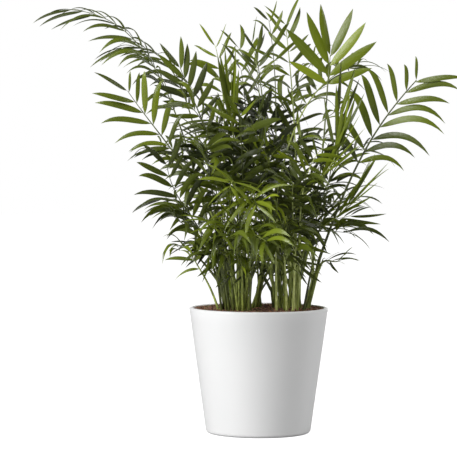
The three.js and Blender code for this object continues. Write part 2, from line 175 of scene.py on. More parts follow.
def add_attribute(obj: Object, name: str, values: Sequence) -> None:
    """Writes one number or one vector for each point of a mesh.

    Args:
        obj: The mesh object.
        name: The attribute's name.
        values: As many numbers, or rows of three, as the mesh has points.
    """
    rows = np.asarray(values, dtype=np.float32)
    vectors = rows.ndim == 2
    kind = "FLOAT_VECTOR" if vectors else "FLOAT"
    attribute = obj.data.attributes.new(name, kind, "POINT")
    attribute.data.foreach_set("vector" if vectors else "value", rows.ravel())


def drop_attributes(obj: Object, names: Iterable[str]) -> None:
    """Takes attributes off a finished mesh that only its tree needed.

    Args:
        obj: The mesh object.
        names: Their names. Those that the mesh doesn't have are passed over.
    """
    for name in names:
        spare = obj.data.attributes.get(name)
        if spare:
            obj.data.attributes.remove(spare)


def settle(obj: Object, tree: Tree, inputs: dict[str, object]) -> None:
    """Runs a geometry node tree over an object and keeps the result as its plain mesh.

    Args:
        obj: The object that the tree works on.
        tree: The geometry node tree.
        inputs: Values for the tree's named inputs.
    """
    modifier = obj.modifiers.new(tree.name, "NODES")
    modifier.node_group = tree
    for socket in tree.interface.items_tree:
        if socket.item_type == "SOCKET" and socket.in_out == "INPUT" and socket.name in inputs:
            modifier[socket.identifier] = inputs[socket.name]
    obj.update_tag()
    bpy.context.view_layer.update()
    depsgraph = bpy.context.evaluated_depsgraph_get()
    mesh = bpy.data.meshes.new_from_object(
        obj.evaluated_get(depsgraph), preserve_all_data_layers=True, depsgraph=depsgraph
    )
    obj.modifiers.remove(modifier)
    before = obj.data
    obj.data = mesh
    bpy.data.meshes.remove(before)
    mesh.name = obj.name


def place(obj: Object, slot: str, nodes: Iterable[str]) -> None:
    """Fixes a finished piece to the plant's body and reports it.

    Args:
        obj: The finished piece.
        slot: Not used.
        nodes: The solids that it stands for.
    """
    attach(obj, BODY)
    names = list(nodes)
    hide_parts(*names)
    faces = obj.data.polygons
    triangles = sum(len(face.vertices) - 2 for face in faces)
    log.info("%s: %d faces, %d triangles, for %d solids", obj.name, len(faces), triangles, len(names))


# ---------- node trees


class Graph:
    """Writes the nodes of a geometry or shader tree, wired as they are made."""

    def __init__(self, tree: Tree) -> None:
        """Keeps the tree that the nodes go into."""
        self.tree = tree

    @classmethod
    def group(cls, name: str, kind: str) -> "Graph":
        """Starts a node group of a kind, such as ShaderNodeTree."""
        return cls(bpy.data.node_groups.new(name, kind))

    def entry(self, name: str, default: object) -> None:
        """Adds a named input to the group.

        Args:
            name: The input's name.
            default: A number, a vector of 3, a colour of 4, or None for a material.
        """
        kind = {int: "Int", float: "Float", type(None): "Material"}.get(type(default))
        if kind is None:
            kind = "Color" if len(default) == 4 else "Vector"
        socket = self.tree.interface.new_socket(name, in_out="INPUT", socket_type=f"NodeSocket{kind}")
        if default is not None:
            socket.default_value = default

    def port(self, name: str, kind: str, way: str = "OUTPUT") -> None:
        """Adds a named output or input of a kind, such as NodeSocketColor."""
        self.tree.interface.new_socket(name, in_out=way, socket_type=kind)

    def add(self, kind: str, *values: object, **settings: object) -> Node:
        """Adds a node.

        Args:
            kind: The node's type.
            values: For its inputs in order: a socket to link, a value to set, or None to leave.
            settings: Its properties.

        Returns:
            The node.
        """
        node = self.tree.nodes.new(kind)
        for name, value in settings.items():
            setattr(node, name, value)
        for socket, value in zip(node.inputs, values):
            self.feed(socket, value)
        return node

    def wired(self, kind: str, inputs: dict[str, object], **settings: object) -> Node:
        """Adds a node and feeds some of its inputs by their names.

        Args:
            kind: The node's type.
            inputs: A socket to link or a value to set, by the input's name.
            settings: The node's properties.

        Returns:
            The node.
        """
        node = self.add(kind, **settings)
        for name, value in inputs.items():
            self.feed(node.inputs[name], value)
        return node

    def feed(self, socket: Socket, value: object) -> None:
        """Links a socket to an input, or sets the input's own value.

        Args:
            socket: The input.
            value: The socket to link, a node for its first output, a plain value to set, or None.
        """
        if isinstance(value, Node):
            value = value.outputs[0]
        if isinstance(value, Socket):
            self.tree.links.new(value, socket)
        elif value is not None:
            socket.default_value = value

    def math(self, operation: str, *values: object) -> Socket:
        """Returns the result of a Math node."""
        return self.add("ShaderNodeMath", *values, operation=operation).outputs[0]

    def product(self, *numbers: object) -> Socket:
        """Multiplies some numbers from left to right."""
        return reduce(lambda first, other: self.math("MULTIPLY", first, other), numbers)

    def vector(self, operation: str, *values: object) -> Socket:
        """Returns the result of a Vector Math node."""
        return self.add("ShaderNodeVectorMath", *values, operation=operation).outputs[0]

    def scaled(self, vector: object, factor: object) -> Socket:
        """Returns a vector times a number."""
        inputs = {"Vector": vector, "Scale": factor}
        return self.wired("ShaderNodeVectorMath", inputs, operation="SCALE").outputs[0]

    def total(self, *vectors: object) -> Socket:
        """Adds some vectors from left to right."""
        return reduce(lambda first, other: self.vector("ADD", first, other), vectors)

    def upright(self, height: object) -> Socket:
        """Returns a vector straight up, or down where the height is below 0."""
        return self.add("ShaderNodeCombineXYZ", 0.0, 0.0, height).outputs[0]

    def blend(self, share: object, first: object, second: object) -> Socket:
        """Mixes two colours.

        Args:
            share: How much there is of the second colour.
            first: The first colour.
            second: The second colour.

        Returns:
            The mixed colour.
        """
        node = self.add("ShaderNodeMix", data_type="RGBA")
        colours = [socket for socket in node.inputs if socket.type == "RGBA"]
        for socket, value in zip((node.inputs[0], *colours), (share, first, second)):
            self.feed(socket, value)
        return next(socket for socket in node.outputs if socket.type == "RGBA")

    def span(self, value: object, low: float, high: float, first: float, last: float) -> Socket:
        """Moves a number from the span low to high, and held within it, into the span first to last."""
        return self.add("ShaderNodeMapRange", value, low, high, first, last).outputs[0]

    def curve(self, value: object, points: Sequence[tuple[float, float]]) -> Socket:
        """Passes a number through a curve drawn through given points.

        Args:
            value: The number, from 0 to 1.
            points: The curve's points from left to right.

        Returns:
            The curve's height there.
        """
        node = self.add("ShaderNodeFloatCurve", 1.0, value)
        line = node.mapping.curves[0]
        for across, height in points[1:-1]:
            line.points.new(across, height)
        line.points[0].location = points[0]
        line.points[-1].location = points[-1]
        for point in line.points:
            point.handle_type = "AUTO_CLAMPED"
        node.mapping.update()
        return node.outputs[0]

    def attribute(self, name: str, kind: str = "FLOAT") -> Socket:
        """Returns a named attribute in a geometry tree."""
        return self.add("GeometryNodeInputNamedAttribute", name, data_type=kind).outputs[0]

    def store(
        self, geometry: object, name: str, value: object, kind: str = "FLOAT", domain: str = "POINT"
    ) -> Socket:
        """Stores a named attribute of a kind, for the points or another domain of a geometry."""
        inputs = {"Geometry": geometry, "Name": name, "Value": value}
        return self.wired("GeometryNodeStoreNamedAttribute", inputs, data_type=kind, domain=domain).outputs[0]

    def dressed(self, geometry: object, finish: object, where: object = None) -> Socket:
        """Gives a geometry its material, or only the faces where it is to be."""
        inputs = {"Geometry": geometry, "Selection": where, "Material": finish}
        return self.wired("GeometryNodeSetMaterial", inputs).outputs[0]

    def strewn(self, points: object, shape: object, **inputs: object) -> Socket:
        """Puts a shape on every point, by a Rotation and a Scale where given, and makes the copies real."""
        spread = self.wired("GeometryNodeInstanceOnPoints", {"Points": points, "Instance": shape, **inputs})
        return self.add("GeometryNodeRealizeInstances", spread).outputs[0]

    def dice(self, low: object, high: object, seed: int) -> Socket:
        """Returns a random vector between two others, another one for each point."""
        node = self.add("FunctionNodeRandomValue", low, high, data_type="FLOAT_VECTOR")
        self.feed(node.inputs["Seed"], seed)
        return node.outputs[0]


def geometry_tree(name: str, inputs: dict[str, object]) -> tuple[Graph, Sockets]:
    """Starts a geometry tree with named inputs.

    Args:
        name: The tree's name.
        inputs: The default of each input after the geometry.

    Returns:
        The graph and the sockets of what it is given.
    """
    graph = Graph.group(name, "GeometryNodeTree")
    graph.port("Geometry", "NodeSocketGeometry", "INPUT")
    for entry in inputs.items():
        graph.entry(*entry)
    graph.port("Geometry", "NodeSocketGeometry")
    return graph, graph.add("NodeGroupInput").outputs


# ---------- finishes


def rgba(colour: Colour) -> tuple[float, float, float, float]:
    """Returns a colour with full alpha."""
    return (*colour, 1.0)


def screen(red: int, green: int, blue: int) -> Colour:
    """Turns a colour's 8-bit screen numbers into linear light.

    Args:
        red: From 0 to 255.
        green: From 0 to 255.
        blue: From 0 to 255.

    Returns:
        The colour.
    """

    def linear(value: int) -> float:
        """Undoes the screen's curve for one channel."""
        share = value / 255
        return share / 12.92 if share <= 0.04045 else ((share + 0.055) / 1.055) ** 2.4

    return linear(red), linear(green), linear(blue)


def toward(first: Colour, second: Colour, share: float) -> Colour:
    """Returns the colour at a share of the way from the first to the second."""
    return tuple(a * (1 - share) + b * share for a, b in zip(first, second))


def surface_group(name: str, inputs: dict[str, object]) -> tuple[Graph, Sockets]:
    """Starts a shader group that puts out a colour, a roughness and a normal.

    Args:
        name: The group's name.
        inputs: The default of each input: a colour, a vector or a number.

    Returns:
        The graph and the sockets of what it is given.
    """
    graph = Graph.group(name, "ShaderNodeTree")
    for entry in inputs.items():
        graph.entry(*entry)
    graph.port("Colour", "NodeSocketColor")
    graph.port("Roughness", "NodeSocketFloat")
    graph.port("Normal", "NodeSocketVector")
    return graph, graph.add("NodeGroupInput").outputs


PATCH_EDGE = (0.32, 0.68)  # values of the noise between which a patch fades in
GRAIN_DEPTH = 0.0004  # in metres


def mottle_group() -> Tree:
    """Builds the effect of soft patches and fine grain on a colour.

    Returns:
        A shader group that puts out a colour, a roughness and a normal.
    """
    graph, given = surface_group(
        "mottle",
        {
            "Colour": WHITE,
            "Second": WHITE,
            "Patches": 60.0,
            "Strength": 0.5,
            "Roughness": 0.5,
            "Roughness Spread": 0.1,
            "Grain": 900.0,
            "Relief": 0.1,
            "Stretch": (1.0, 1.0, 1.0),
        },
    )
    where = graph.vector("MULTIPLY", graph.add("ShaderNodeTexCoord").outputs["Object"], given["Stretch"])
    patches = graph.wired("ShaderNodeTexNoise", {"Vector": where, "Scale": given["Patches"], "Detail": 3.0})
    spread = graph.span(patches, *PATCH_EDGE, 0.0, 1.0)
    share = graph.product(spread, given["Strength"])
    grain = graph.wired("ShaderNodeTexNoise", {"Vector": where, "Scale": given["Grain"], "Detail": 2.0})
    relief = {"Strength": given["Relief"], "Distance": GRAIN_DEPTH, "Height": grain}
    graph.wired(
        "NodeGroupOutput",
        {
            "Colour": graph.blend(share, given["Colour"], given["Second"]),
            "Roughness": graph.math("MULTIPLY_ADD", spread, given["Roughness Spread"], given["Roughness"]),
            "Normal": graph.wired("ShaderNodeBump", relief),
        },
    )
    return graph.tree


LEAF_PATCHES = 16.0  # soft patches of the second colour on a metre of leaflets
LEAF_PATCH_EDGE = (0.34, 0.66)
PATCH_DULLER = 0.08  # how much rougher those patches are
MIDRIB = (0.045, 0.55)  # the midrib's half width, as a share of the blade's, and how far it shows
VEINS = 88.0  # radians of ripple from edge to edge, which make 14 veins
VEIN_RELIEF = (0.35, 0.0002)  # its strength and its depth in metres


def vein_group() -> Tree:
    """Builds the effect of a leaflet's midrib and parallel veins, which follow its own UV map.

    Returns:
        A shader group that puts out a colour, a roughness and a normal.
    """
    inputs = {"Colour": WHITE, "Second": WHITE, "Rib": WHITE, "Roughness": 0.4}
    graph, given = surface_group("leaf veins", inputs)
    uv = graph.add("ShaderNodeUVMap", uv_map=Leaflets.uv_name)
    across = graph.add("ShaderNodeSeparateXYZ", uv).outputs[1]
    where = graph.add("ShaderNodeTexCoord").outputs["Object"]
    patches = graph.wired("ShaderNodeTexNoise", {"Vector": where, "Scale": LEAF_PATCHES, "Detail": 3.0})
    share = graph.span(patches, *LEAF_PATCH_EDGE, 0.0, 1.0)
    blade = graph.blend(share, given["Colour"], given["Second"])
    off_rib = graph.math("ABSOLUTE", graph.math("SUBTRACT", across, 0.5))
    width, shows = MIDRIB
    rib = graph.span(off_rib, 0.0, width, shows, 0.0)
    veins = graph.math("SINE", graph.product(across, VEINS))
    strength, depth = VEIN_RELIEF
    height = graph.math("ADD", graph.product(veins, strength), rib)
    relief = {"Strength": strength, "Distance": depth, "Height": height}
    graph.wired(
        "NodeGroupOutput",
        {
            "Colour": graph.blend(rib, blade, given["Rib"]),
            "Roughness": graph.math("MULTIPLY_ADD", share, PATCH_DULLER, given["Roughness"]),
            "Normal": graph.wired("ShaderNodeBump", relief),
        },
    )
    return graph.tree


def effect(name: str) -> Tree:
    """Returns a shared shader group, built the first time it is asked for."""
    makers = {"mottle": mottle_group, "leaf veins": vein_group}
    return bpy.data.node_groups.get(name) or makers[name]()


def blank_material(name: str) -> tuple[bpy.types.Material, Graph]:
    """Starts a material without a node.

    Args:
        name: The material's name.

    Returns:
        The material and its graph.
    """
    material = bpy.data.materials.new(name)
    material.use_nodes = True
    material.node_tree.nodes.clear()
    return material, Graph(material.node_tree)


def shown(graph: Graph, look: str, finish: object, **plain: object) -> Socket:
    """Adds an effect, fed from the finish's fields of the same names, and the shader that shows it.

    Args:
        graph: The material's graph.
        look: The effect's name.
        finish: The finish.
        plain: The shader's other inputs, with _ for each space in their names.

    Returns:
        The shader's socket.
    """
    group = graph.add("ShaderNodeGroup", node_tree=effect(look))
    for socket in group.inputs:
        value = getattr(finish, socket.name.lower().replace(" ", "_"))
        graph.feed(socket, rgba(value) if socket.type == "RGBA" else value)
    inputs = {name: group.outputs[name] for name in ("Roughness", "Normal")}
    inputs["Base Color"] = group.outputs["Colour"]
    inputs.update({name.replace("_", " "): value for name, value in plain.items()})
    return graph.wired("ShaderNodeBsdfPrincipled", inputs).outputs[0]


@dataclass(frozen=True)
class Finish:
    """A mottled finish: glaze, soil, bark or stalk."""

    name: str
    colour: Colour
    second: Colour
    patches: float
    strength: float
    roughness: float
    roughness_spread: float = 0.08
    grain: float = 900.0
    relief: float = 0.1
    stretch: tuple[float, float, float] = (1.0, 1.0, 1.0)

    def material(self) -> bpy.types.Material:
        """Builds the material, or returns it where it is built already.

        Returns:
            The material.
        """
        known = bpy.data.materials.get(self.name)
        if known:
            return known
        material, graph = blank_material(self.name)
        graph.add("ShaderNodeOutputMaterial", shown(graph, "mottle", self))
        return material


@dataclass(frozen=True)
class LeafFinish:
    """One side of the leaflets of one tone: satin, and a little light comes through."""

    name: str
    colour: Colour
    second: Colour
    rib: Colour
    through: Colour
    roughness: float
    passes: float
    specular: float

    def material(self) -> bpy.types.Material:
        """Builds the material.

        Returns:
            The material.
        """
        material, graph = blank_material(self.name)
        face = shown(graph, "leaf veins", self, Specular_IOR_Level=self.specular)
        glow = graph.add("ShaderNodeBsdfTranslucent", rgba(self.through))
        shader = graph.add("ShaderNodeMixShader", self.passes, face, glow)
        graph.add("ShaderNodeOutputMaterial", shader)
        return material


PALE_GREEN = screen(142, 154, 80)  # what undersides and midribs lean to
RIB_PALER = 0.4
GLOW_GAIN = (2.2, 2.2, 1.2)  # the light that comes through, against the blade's own colour
MOST_GLOW = 0.8
YOUNG_PASSES = 0.2  # share of light that comes through young leaflets
PASSES = 0.14
MEADOW_SPECULAR = 0.4


class LeafSide(Enum):
    """The sides of a leaflet: how far each pales, its roughness and its specular level."""

    UPPER = (0.0, 0.24, 0.52)
    UNDER = (0.12, 0.5, 0.2)


class Tone(Enum):
    """The colours that whole fronds are dealt: the upper side, and how it turns in patches."""

    LIME = (screen(138, 152, 38), screen(118, 132, 34))
    SPRING = (screen(119, 133, 32), screen(103, 117, 29))
    MEADOW = (screen(103, 116, 30), screen(89, 102, 27))
    OLIVE = (screen(86, 97, 32), screen(74, 85, 27))
    DEEP = (screen(66, 75, 30), screen(56, 65, 26))
    SHADE = (screen(49, 56, 25), screen(41, 48, 22))

    @property
    def word(self) -> str:
        """The tone's name in lower case."""
        return self.name.lower()

    def shifted(self, steps: int) -> "Tone":
        """Gives the tone some steps darker, or lighter where the steps are below 0."""
        tones = list(Tone)
        return tones[min(max(tones.index(self) + steps, 0), len(tones) - 1)]

    def finish(self, side: LeafSide) -> LeafFinish:
        """Gives the finish of one side of the leaflets.

        Args:
            side: The side: the underside is paler and duller.

        Returns:
            The finish.
        """
        colour, second = self.value
        paler, roughness, specular = side.value
        return LeafFinish(
            name=f"leaf_{self.word}_{side.name.lower()}",
            colour=toward(colour, PALE_GREEN, paler),
            second=toward(second, PALE_GREEN, paler),
            rib=toward(colour, PALE_GREEN, RIB_PALER),
            through=tuple(min(part * gain, MOST_GLOW) for part, gain in zip(colour, GLOW_GAIN)),
            roughness=roughness,
            passes=YOUNG_PASSES if self in (Tone.LIME, Tone.SPRING) else PASSES,
            specular=min(specular, MEADOW_SPECULAR) if self is Tone.MEADOW else specular,
        )


def coir(name: str, light: Colour, dark: Colour, patches: float = 300.0, relief: float = 0.8) -> Finish:
    """Returns the dull finish of one part of the potting mix."""
    return Finish(name, light, dark, patches, strength=1.0, roughness=0.95, relief=relief)


def stem(
    name: str, light: Colour, dark: Colour, patches: float = 60.0, relief: float = 0.3, along: float = 0.5
) -> Finish:
    """Returns the satin finish of a stem, whose streaks run along it."""
    stretch = (6.0, 6.0, along)
    return Finish(name, light, dark, patches, strength=1.0, roughness=0.34, relief=relief, stretch=stretch)


class Stock:
    """The plain finishes of the pot, the soil, the canes and the stalks."""

    GLAZE = Finish(
        "glaze_white", (0.80, 0.80, 0.80), (0.775, 0.78, 0.78), patches=14.0, strength=0.6,
        roughness=0.42, roughness_spread=0.05, grain=500.0, relief=0.06,
    )
    FOOT = Finish(
        "bisque_foot", (0.62, 0.60, 0.56), (0.52, 0.50, 0.46), patches=60.0, strength=0.6,
        roughness=0.85, relief=0.4,
    )
    COIR = coir("coir_bed", screen(124, 90, 72), screen(88, 62, 48), patches=160.0, relief=0.9)
    CRUMB_RED = coir("coir_red", screen(166, 118, 92), screen(124, 84, 62))
    CRUMB_DARK = coir("coir_dark", screen(80, 56, 42), screen(52, 36, 27))
    CRUMB_PALE = coir("coir_moss", screen(144, 150, 84), screen(112, 108, 60))
    FIBRE = Finish(
        "coir_fibre", screen(152, 114, 86), screen(114, 80, 60), patches=120.0, strength=1.0,
        roughness=0.9, relief=0.4,
    )
    CANE = stem("cane_green", screen(134, 146, 72), screen(66, 74, 37), 90.0, 0.35, 0.6)
    STALK_DEEP = stem("stalk_deep", screen(106, 116, 54), screen(50, 56, 28))
    STALK_MID = stem("stalk_mid", screen(174, 188, 92), screen(98, 108, 50))
    STALK_PALE = stem("stalk_pale", screen(224, 234, 148), screen(144, 156, 78))


class StalkTone(Enum):
    """The finishes that stalks are dealt."""

    DEEP = Stock.STALK_DEEP
    MID = Stock.STALK_MID
    PALE = Stock.STALK_PALE


# ---------- the growth rule, in millimetres


@dataclass(frozen=True)
class Stance:
    """How the leaflets of one kind of frond stand.

    spacing is the step along the rib, slender the width as a share of the length, base and tip
    the angles to the rib, lift the angle out of the blade, droop the fall of the tip as a share
    of the length, and stiff how long the stalk keeps its first direction. hook is how late the
    fall comes, sweep how far a leaflet bows back before it bends to the rib's tip, and curl how
    far its end bends to its underside.
    """

    spacing: float
    slender: float
    base: float
    tip: float
    lift: float
    droop: float
    stiff: float
    hook: float
    sweep: float
    curl: float


class Habit(Enum):
    """The kinds of frond."""

    ARCHING = Stance(16.5, 0.1, 56, 22, -6, 0.46, 0.5, 0.5, 0.06, 0.14)
    OPEN = Stance(18.5, 0.12, 46, 22, 8, 0.26, 0.48, 0.75, 0.06, 0.12)
    LOOSE = Stance(19, 0.112, 58, 26, 12, 0.5, 0.48, 0.65, 0.08, 0.16)
    WIDE = Stance(20.5, 0.11, 50, 30, 10, 0.42, 0.48, 0.75, 0.06, 0.12)
    HOOKED = Stance(17.5, 0.132, 48, 28, 10, 0.36, 0.48, 1.0, 0.06, 0.2)
    SPRAY = Stance(11, 0.078, 42, 8, 6, 0.1, 0.48, 0.5, 0.06, 0.05)
    BROAD = Stance(14, 0.16, 60, 15, 6, 0.1, 0.5, 0.0, 0.02, 0.03)
    FINE = Stance(14, 0.12, 56, 22, 12, 0.36, 0.48, 0.8, 0.08, 0.22)
    SPEAR = Stance(12, 0.065, 10, 4, 2, 0.02, 0.45, 0.4, 0.01, 0.02)
    YOUNG = Stance(13, 0.128, 72, 20, 14, 0.32, 0.5, 0.5, 0.06, 0.16)
    STAR = Stance(5.5, 0.11, 136, 14, 4, 0.1, 0.5, 0.4, 0.04, 0.08)


@dataclass
class Cane:
    """One cane, from the soil to its top."""

    foot: np.ndarray
    axis: np.ndarray
    height: float
    radius: float

    def at(self, share: float) -> np.ndarray:
        """Returns the point on the axis at a share of the height."""
        return self.foot + self.axis * self.height * share


@dataclass(frozen=True)
class Clump:
    """A clump of seedlings in a sunflower spiral."""

    x: float
    y: float
    turn: float
    canes: int


@dataclass
class CaneBed:
    """Where the canes stand."""

    soil_top: float = 167.5
    clumps: tuple[Clump, ...] = (Clump(-26, 1, 150, 7), Clump(42, -1, 20, 6))
    spacing: float = 10.6
    foot_radius: float = 4.3
    top_radius: float = 3.1
    height: float = 62
    height_spread: float = 16
    girth_spread: float = 0.16
    first_turn: float = 0.3  # how far out the middle cane stands, in squared steps of the spiral
    clump_reach: float = 50  # distance from the pot's axis at which canes lean away from it too
    lean: float = 5
    lean_outside: float = 9
    lean_spread: float = 1.5

    def grow(self) -> list[Cane]:
        """Places every cane, leaning out from the middle.

        Returns:
            The canes in the order of their solids.
        """
        canes: list[Cane] = []
        for clump in self.clumps:
            for i in range(clump.canes):
                count = len(canes)
                outward = heading(clump.turn + i * GOLDEN_ANGLE)
                centre = np.array([clump.x, clump.y, self.soil_top + GAP])
                foot = centre + outward * self.spacing * math.sqrt(i + self.first_turn)
                away = unit(np.array([foot[0], foot[1], 0.0]) / self.clump_reach + outward)
                lean = self.lean + self.lean_outside * math.sqrt(i / clump.canes)
                lean += self.lean_spread * chance(count, 2)
                canes.append(
                    Cane(
                        foot,
                        unit(UP + away * math.tan(math.radians(lean))),
                        self.height + self.height_spread * chance(count, 1),
                        varied(self.foot_radius, self.girth_spread, count, 3),
                    )
                )
        return canes

    def radius(self, cane: Cane, share: float) -> float:
        """Returns the cane's radius at a share of its height."""
        return cane.radius * mix(1, self.top_radius / self.foot_radius, share)


@dataclass(frozen=True)
class Plan:
    """What one frond is to be.

    cane counts from 0. bearing, reach and rise place the rib's tip, pitch is the rib's last
    slope, face how far the blade turns from the sky to the front, leafy the length of rib that
    bears leaflets, and leaf the longest leaflet. A young shoot has its own start in the soil.
    """

    habit: Habit
    cane: int
    bearing: float
    reach: float
    rise: float
    pitch: float
    face: float
    leafy: float
    leaf: float
    tone: Tone
    start: tuple[float, float] | None = None


@dataclass
class Rib:
    """One frond's stalk and rib, from its cane to its tip."""

    plan: Plan
    points: np.ndarray
    length: float
    across: np.ndarray
    room: float = 0.0
    neck: float = 0.0
    roll: float = 0.0
    first_roll: float = 0.12

    def axes(self, share: float) -> tuple[np.ndarray, np.ndarray, np.ndarray]:
        """Gives the rib's own axes, before the blade is rolled.

        Args:
            share: Where along the rib, as a share of its length.

        Returns:
            The point, the tangent and the side.
        """
        last = len(self.points) - 1
        spot = share * last
        low = min(int(math.floor(spot)), last - 1)
        point = self.points[low] + (self.points[low + 1] - self.points[low]) * (spot - low)
        tangent = unit(self.points[min(low + 2, last)] - self.points[max(low - 1, 0)])
        side = unit(self.across - tangent * np.dot(self.across, tangent))
        return point, tangent, side

    def frame(self, share: float) -> tuple[np.ndarray, np.ndarray, np.ndarray, np.ndarray]:
        """Gives the axes of the blade.

        Args:
            share: Where along the rib, as a share of its length.

        Returns:
            The point, the tangent, the side and the direction that the upper side faces.
        """
        point, tangent, side = self.axes(share)
        side = turned_about(side, tangent, self.roll * smoothstep(share, self.first_roll, self.neck))
        return point, tangent, side, np.cross(tangent, side)

    def face(self) -> None:
        """Works out the roll that turns the middle of the blade to the plan's facing."""
        _, tangent, side = self.axes((1 + self.neck) / 2)
        facing = UP + (FRONT - UP) * self.plan.face
        self.roll = math.atan2(-np.dot(facing, side), np.dot(facing, np.cross(tangent, side)))


# The fronds that shape the outline, in the order of their solids: habit, cane, bearing, reach, rise, pitch,
# face, leafy, leaf and tone.
# Each frond's tone is partly its own green and partly painted light and shade: fronds that stand lit are
# dealt lighter tones, shaded ones darker.
OUTLINE = tuple(
    Plan(*row)
    for row in (
        (Habit.ARCHING, 3, 185, 258, 579, 4, 0.22, 208, 72, Tone.OLIVE),
        (Habit.ARCHING, 5, 165, 197, 531, -8, 0.2, 140, 62, Tone.OLIVE),
        (Habit.BROAD, 1, 212, 127, 500, 66, 0.8, 72, 56, Tone.OLIVE),
        (Habit.OPEN, 6, 207, 199, 468, 54, 0.85, 92, 72, Tone.MEADOW),
        (Habit.LOOSE, 0, 154, 68, 533, 70, 0.7, 84, 56, Tone.SPRING),
        (Habit.SPEAR, 2, 217, 50, 460, 84, 0.8, 44, 86, Tone.SPRING),
        (Habit.LOOSE, 7, 40, 47, 563, 76, 0.8, 110, 54, Tone.MEADOW),
        (Habit.LOOSE, 4, 255, 21, 526, 80, 0.7, 66, 44, Tone.OLIVE),
        (Habit.BROAD, 9, 349, 98, 519, 84, 0.8, 40, 88, Tone.SPRING),
        (Habit.FINE, 11, 20, 146, 506, 10, 0.3, 104, 60, Tone.OLIVE),
        (Habit.WIDE, 12, 344, 219, 484, 46, 0.8, 140, 88, Tone.MEADOW),
        (Habit.SPEAR, 8, 323, 132, 400, 84, 0.5, 62, 96, Tone.SPRING),
        (Habit.SPEAR, 10, 334, 138, 324, 60, 0.5, 34, 108, Tone.SPRING),
        (Habit.HOOKED, 6, 224, 172, 370, 66, 0.85, 110, 66, Tone.OLIVE),
        (Habit.FINE, 3, 227, 168, 302, 26, 0.6, 104, 62, Tone.OLIVE),
        (Habit.FINE, 3, 223, 146, 255, -14, 0.3, 66, 42, Tone.MEADOW),
        (Habit.FINE, 4, 268, 150, 318, 4, 0.3, 110, 60, Tone.SPRING),
        (Habit.FINE, 1, 272, 188, 272, -16, 0.25, 96, 58, Tone.MEADOW),
        (Habit.FINE, 2, 257, 176, 277, -8, 0.3, 96, 60, Tone.MEADOW),
        (Habit.FINE, 6, 243, 152, 249, -20, 0.3, 84, 54, Tone.MEADOW),
        (Habit.FINE, 8, 288, 147, 257, -18, 0.3, 84, 56, Tone.MEADOW),
        (Habit.SPRAY, 11, 17, 134, 298, 22, 0.5, 74, 62, Tone.SPRING),
        (Habit.SPRAY, 12, 340, 116, 240, 40, 0.4, 40, 44, Tone.MEADOW),
        (Habit.FINE, 9, 304, 146, 392, 30, 0.5, 110, 64, Tone.MEADOW),
        (Habit.FINE, 5, 240, 145, 394, 34, 0.6, 112, 70, Tone.MEADOW),
        (Habit.HOOKED, 0, 169, 140, 398, 22, 0.75, 116, 58, Tone.OLIVE),
        (Habit.HOOKED, 3, 164, 136, 322, 6, 0.6, 104, 60, Tone.DEEP),
        (Habit.FINE, 10, 22, 158, 391, 10, 0.4, 100, 56, Tone.OLIVE),
        (Habit.LOOSE, 1, 136, 35, 500, 66, 0.6, 96, 54, Tone.OLIVE),
        (Habit.LOOSE, 10, 39, 79, 461, 60, 0.6, 104, 56, Tone.OLIVE),
        (Habit.FINE, 2, 264, 111, 421, 44, 0.6, 104, 66, Tone.OLIVE),
        (Habit.FINE, 7, 286, 156, 347, 18, 0.35, 108, 64, Tone.OLIVE),
    )
)


def shoot(
    x: float, y: float, bearing: float, reach: float, rise: float, pitch: float, face: float,
    leafy: float, leaf: float, tone: Tone, habit: Habit = Habit.STAR,
) -> Plan:
    """Returns the plan of a young shoot that starts at x, y in the soil."""
    return Plan(habit, -1, bearing, reach, rise, pitch, face, leafy, leaf, tone, (x, y))
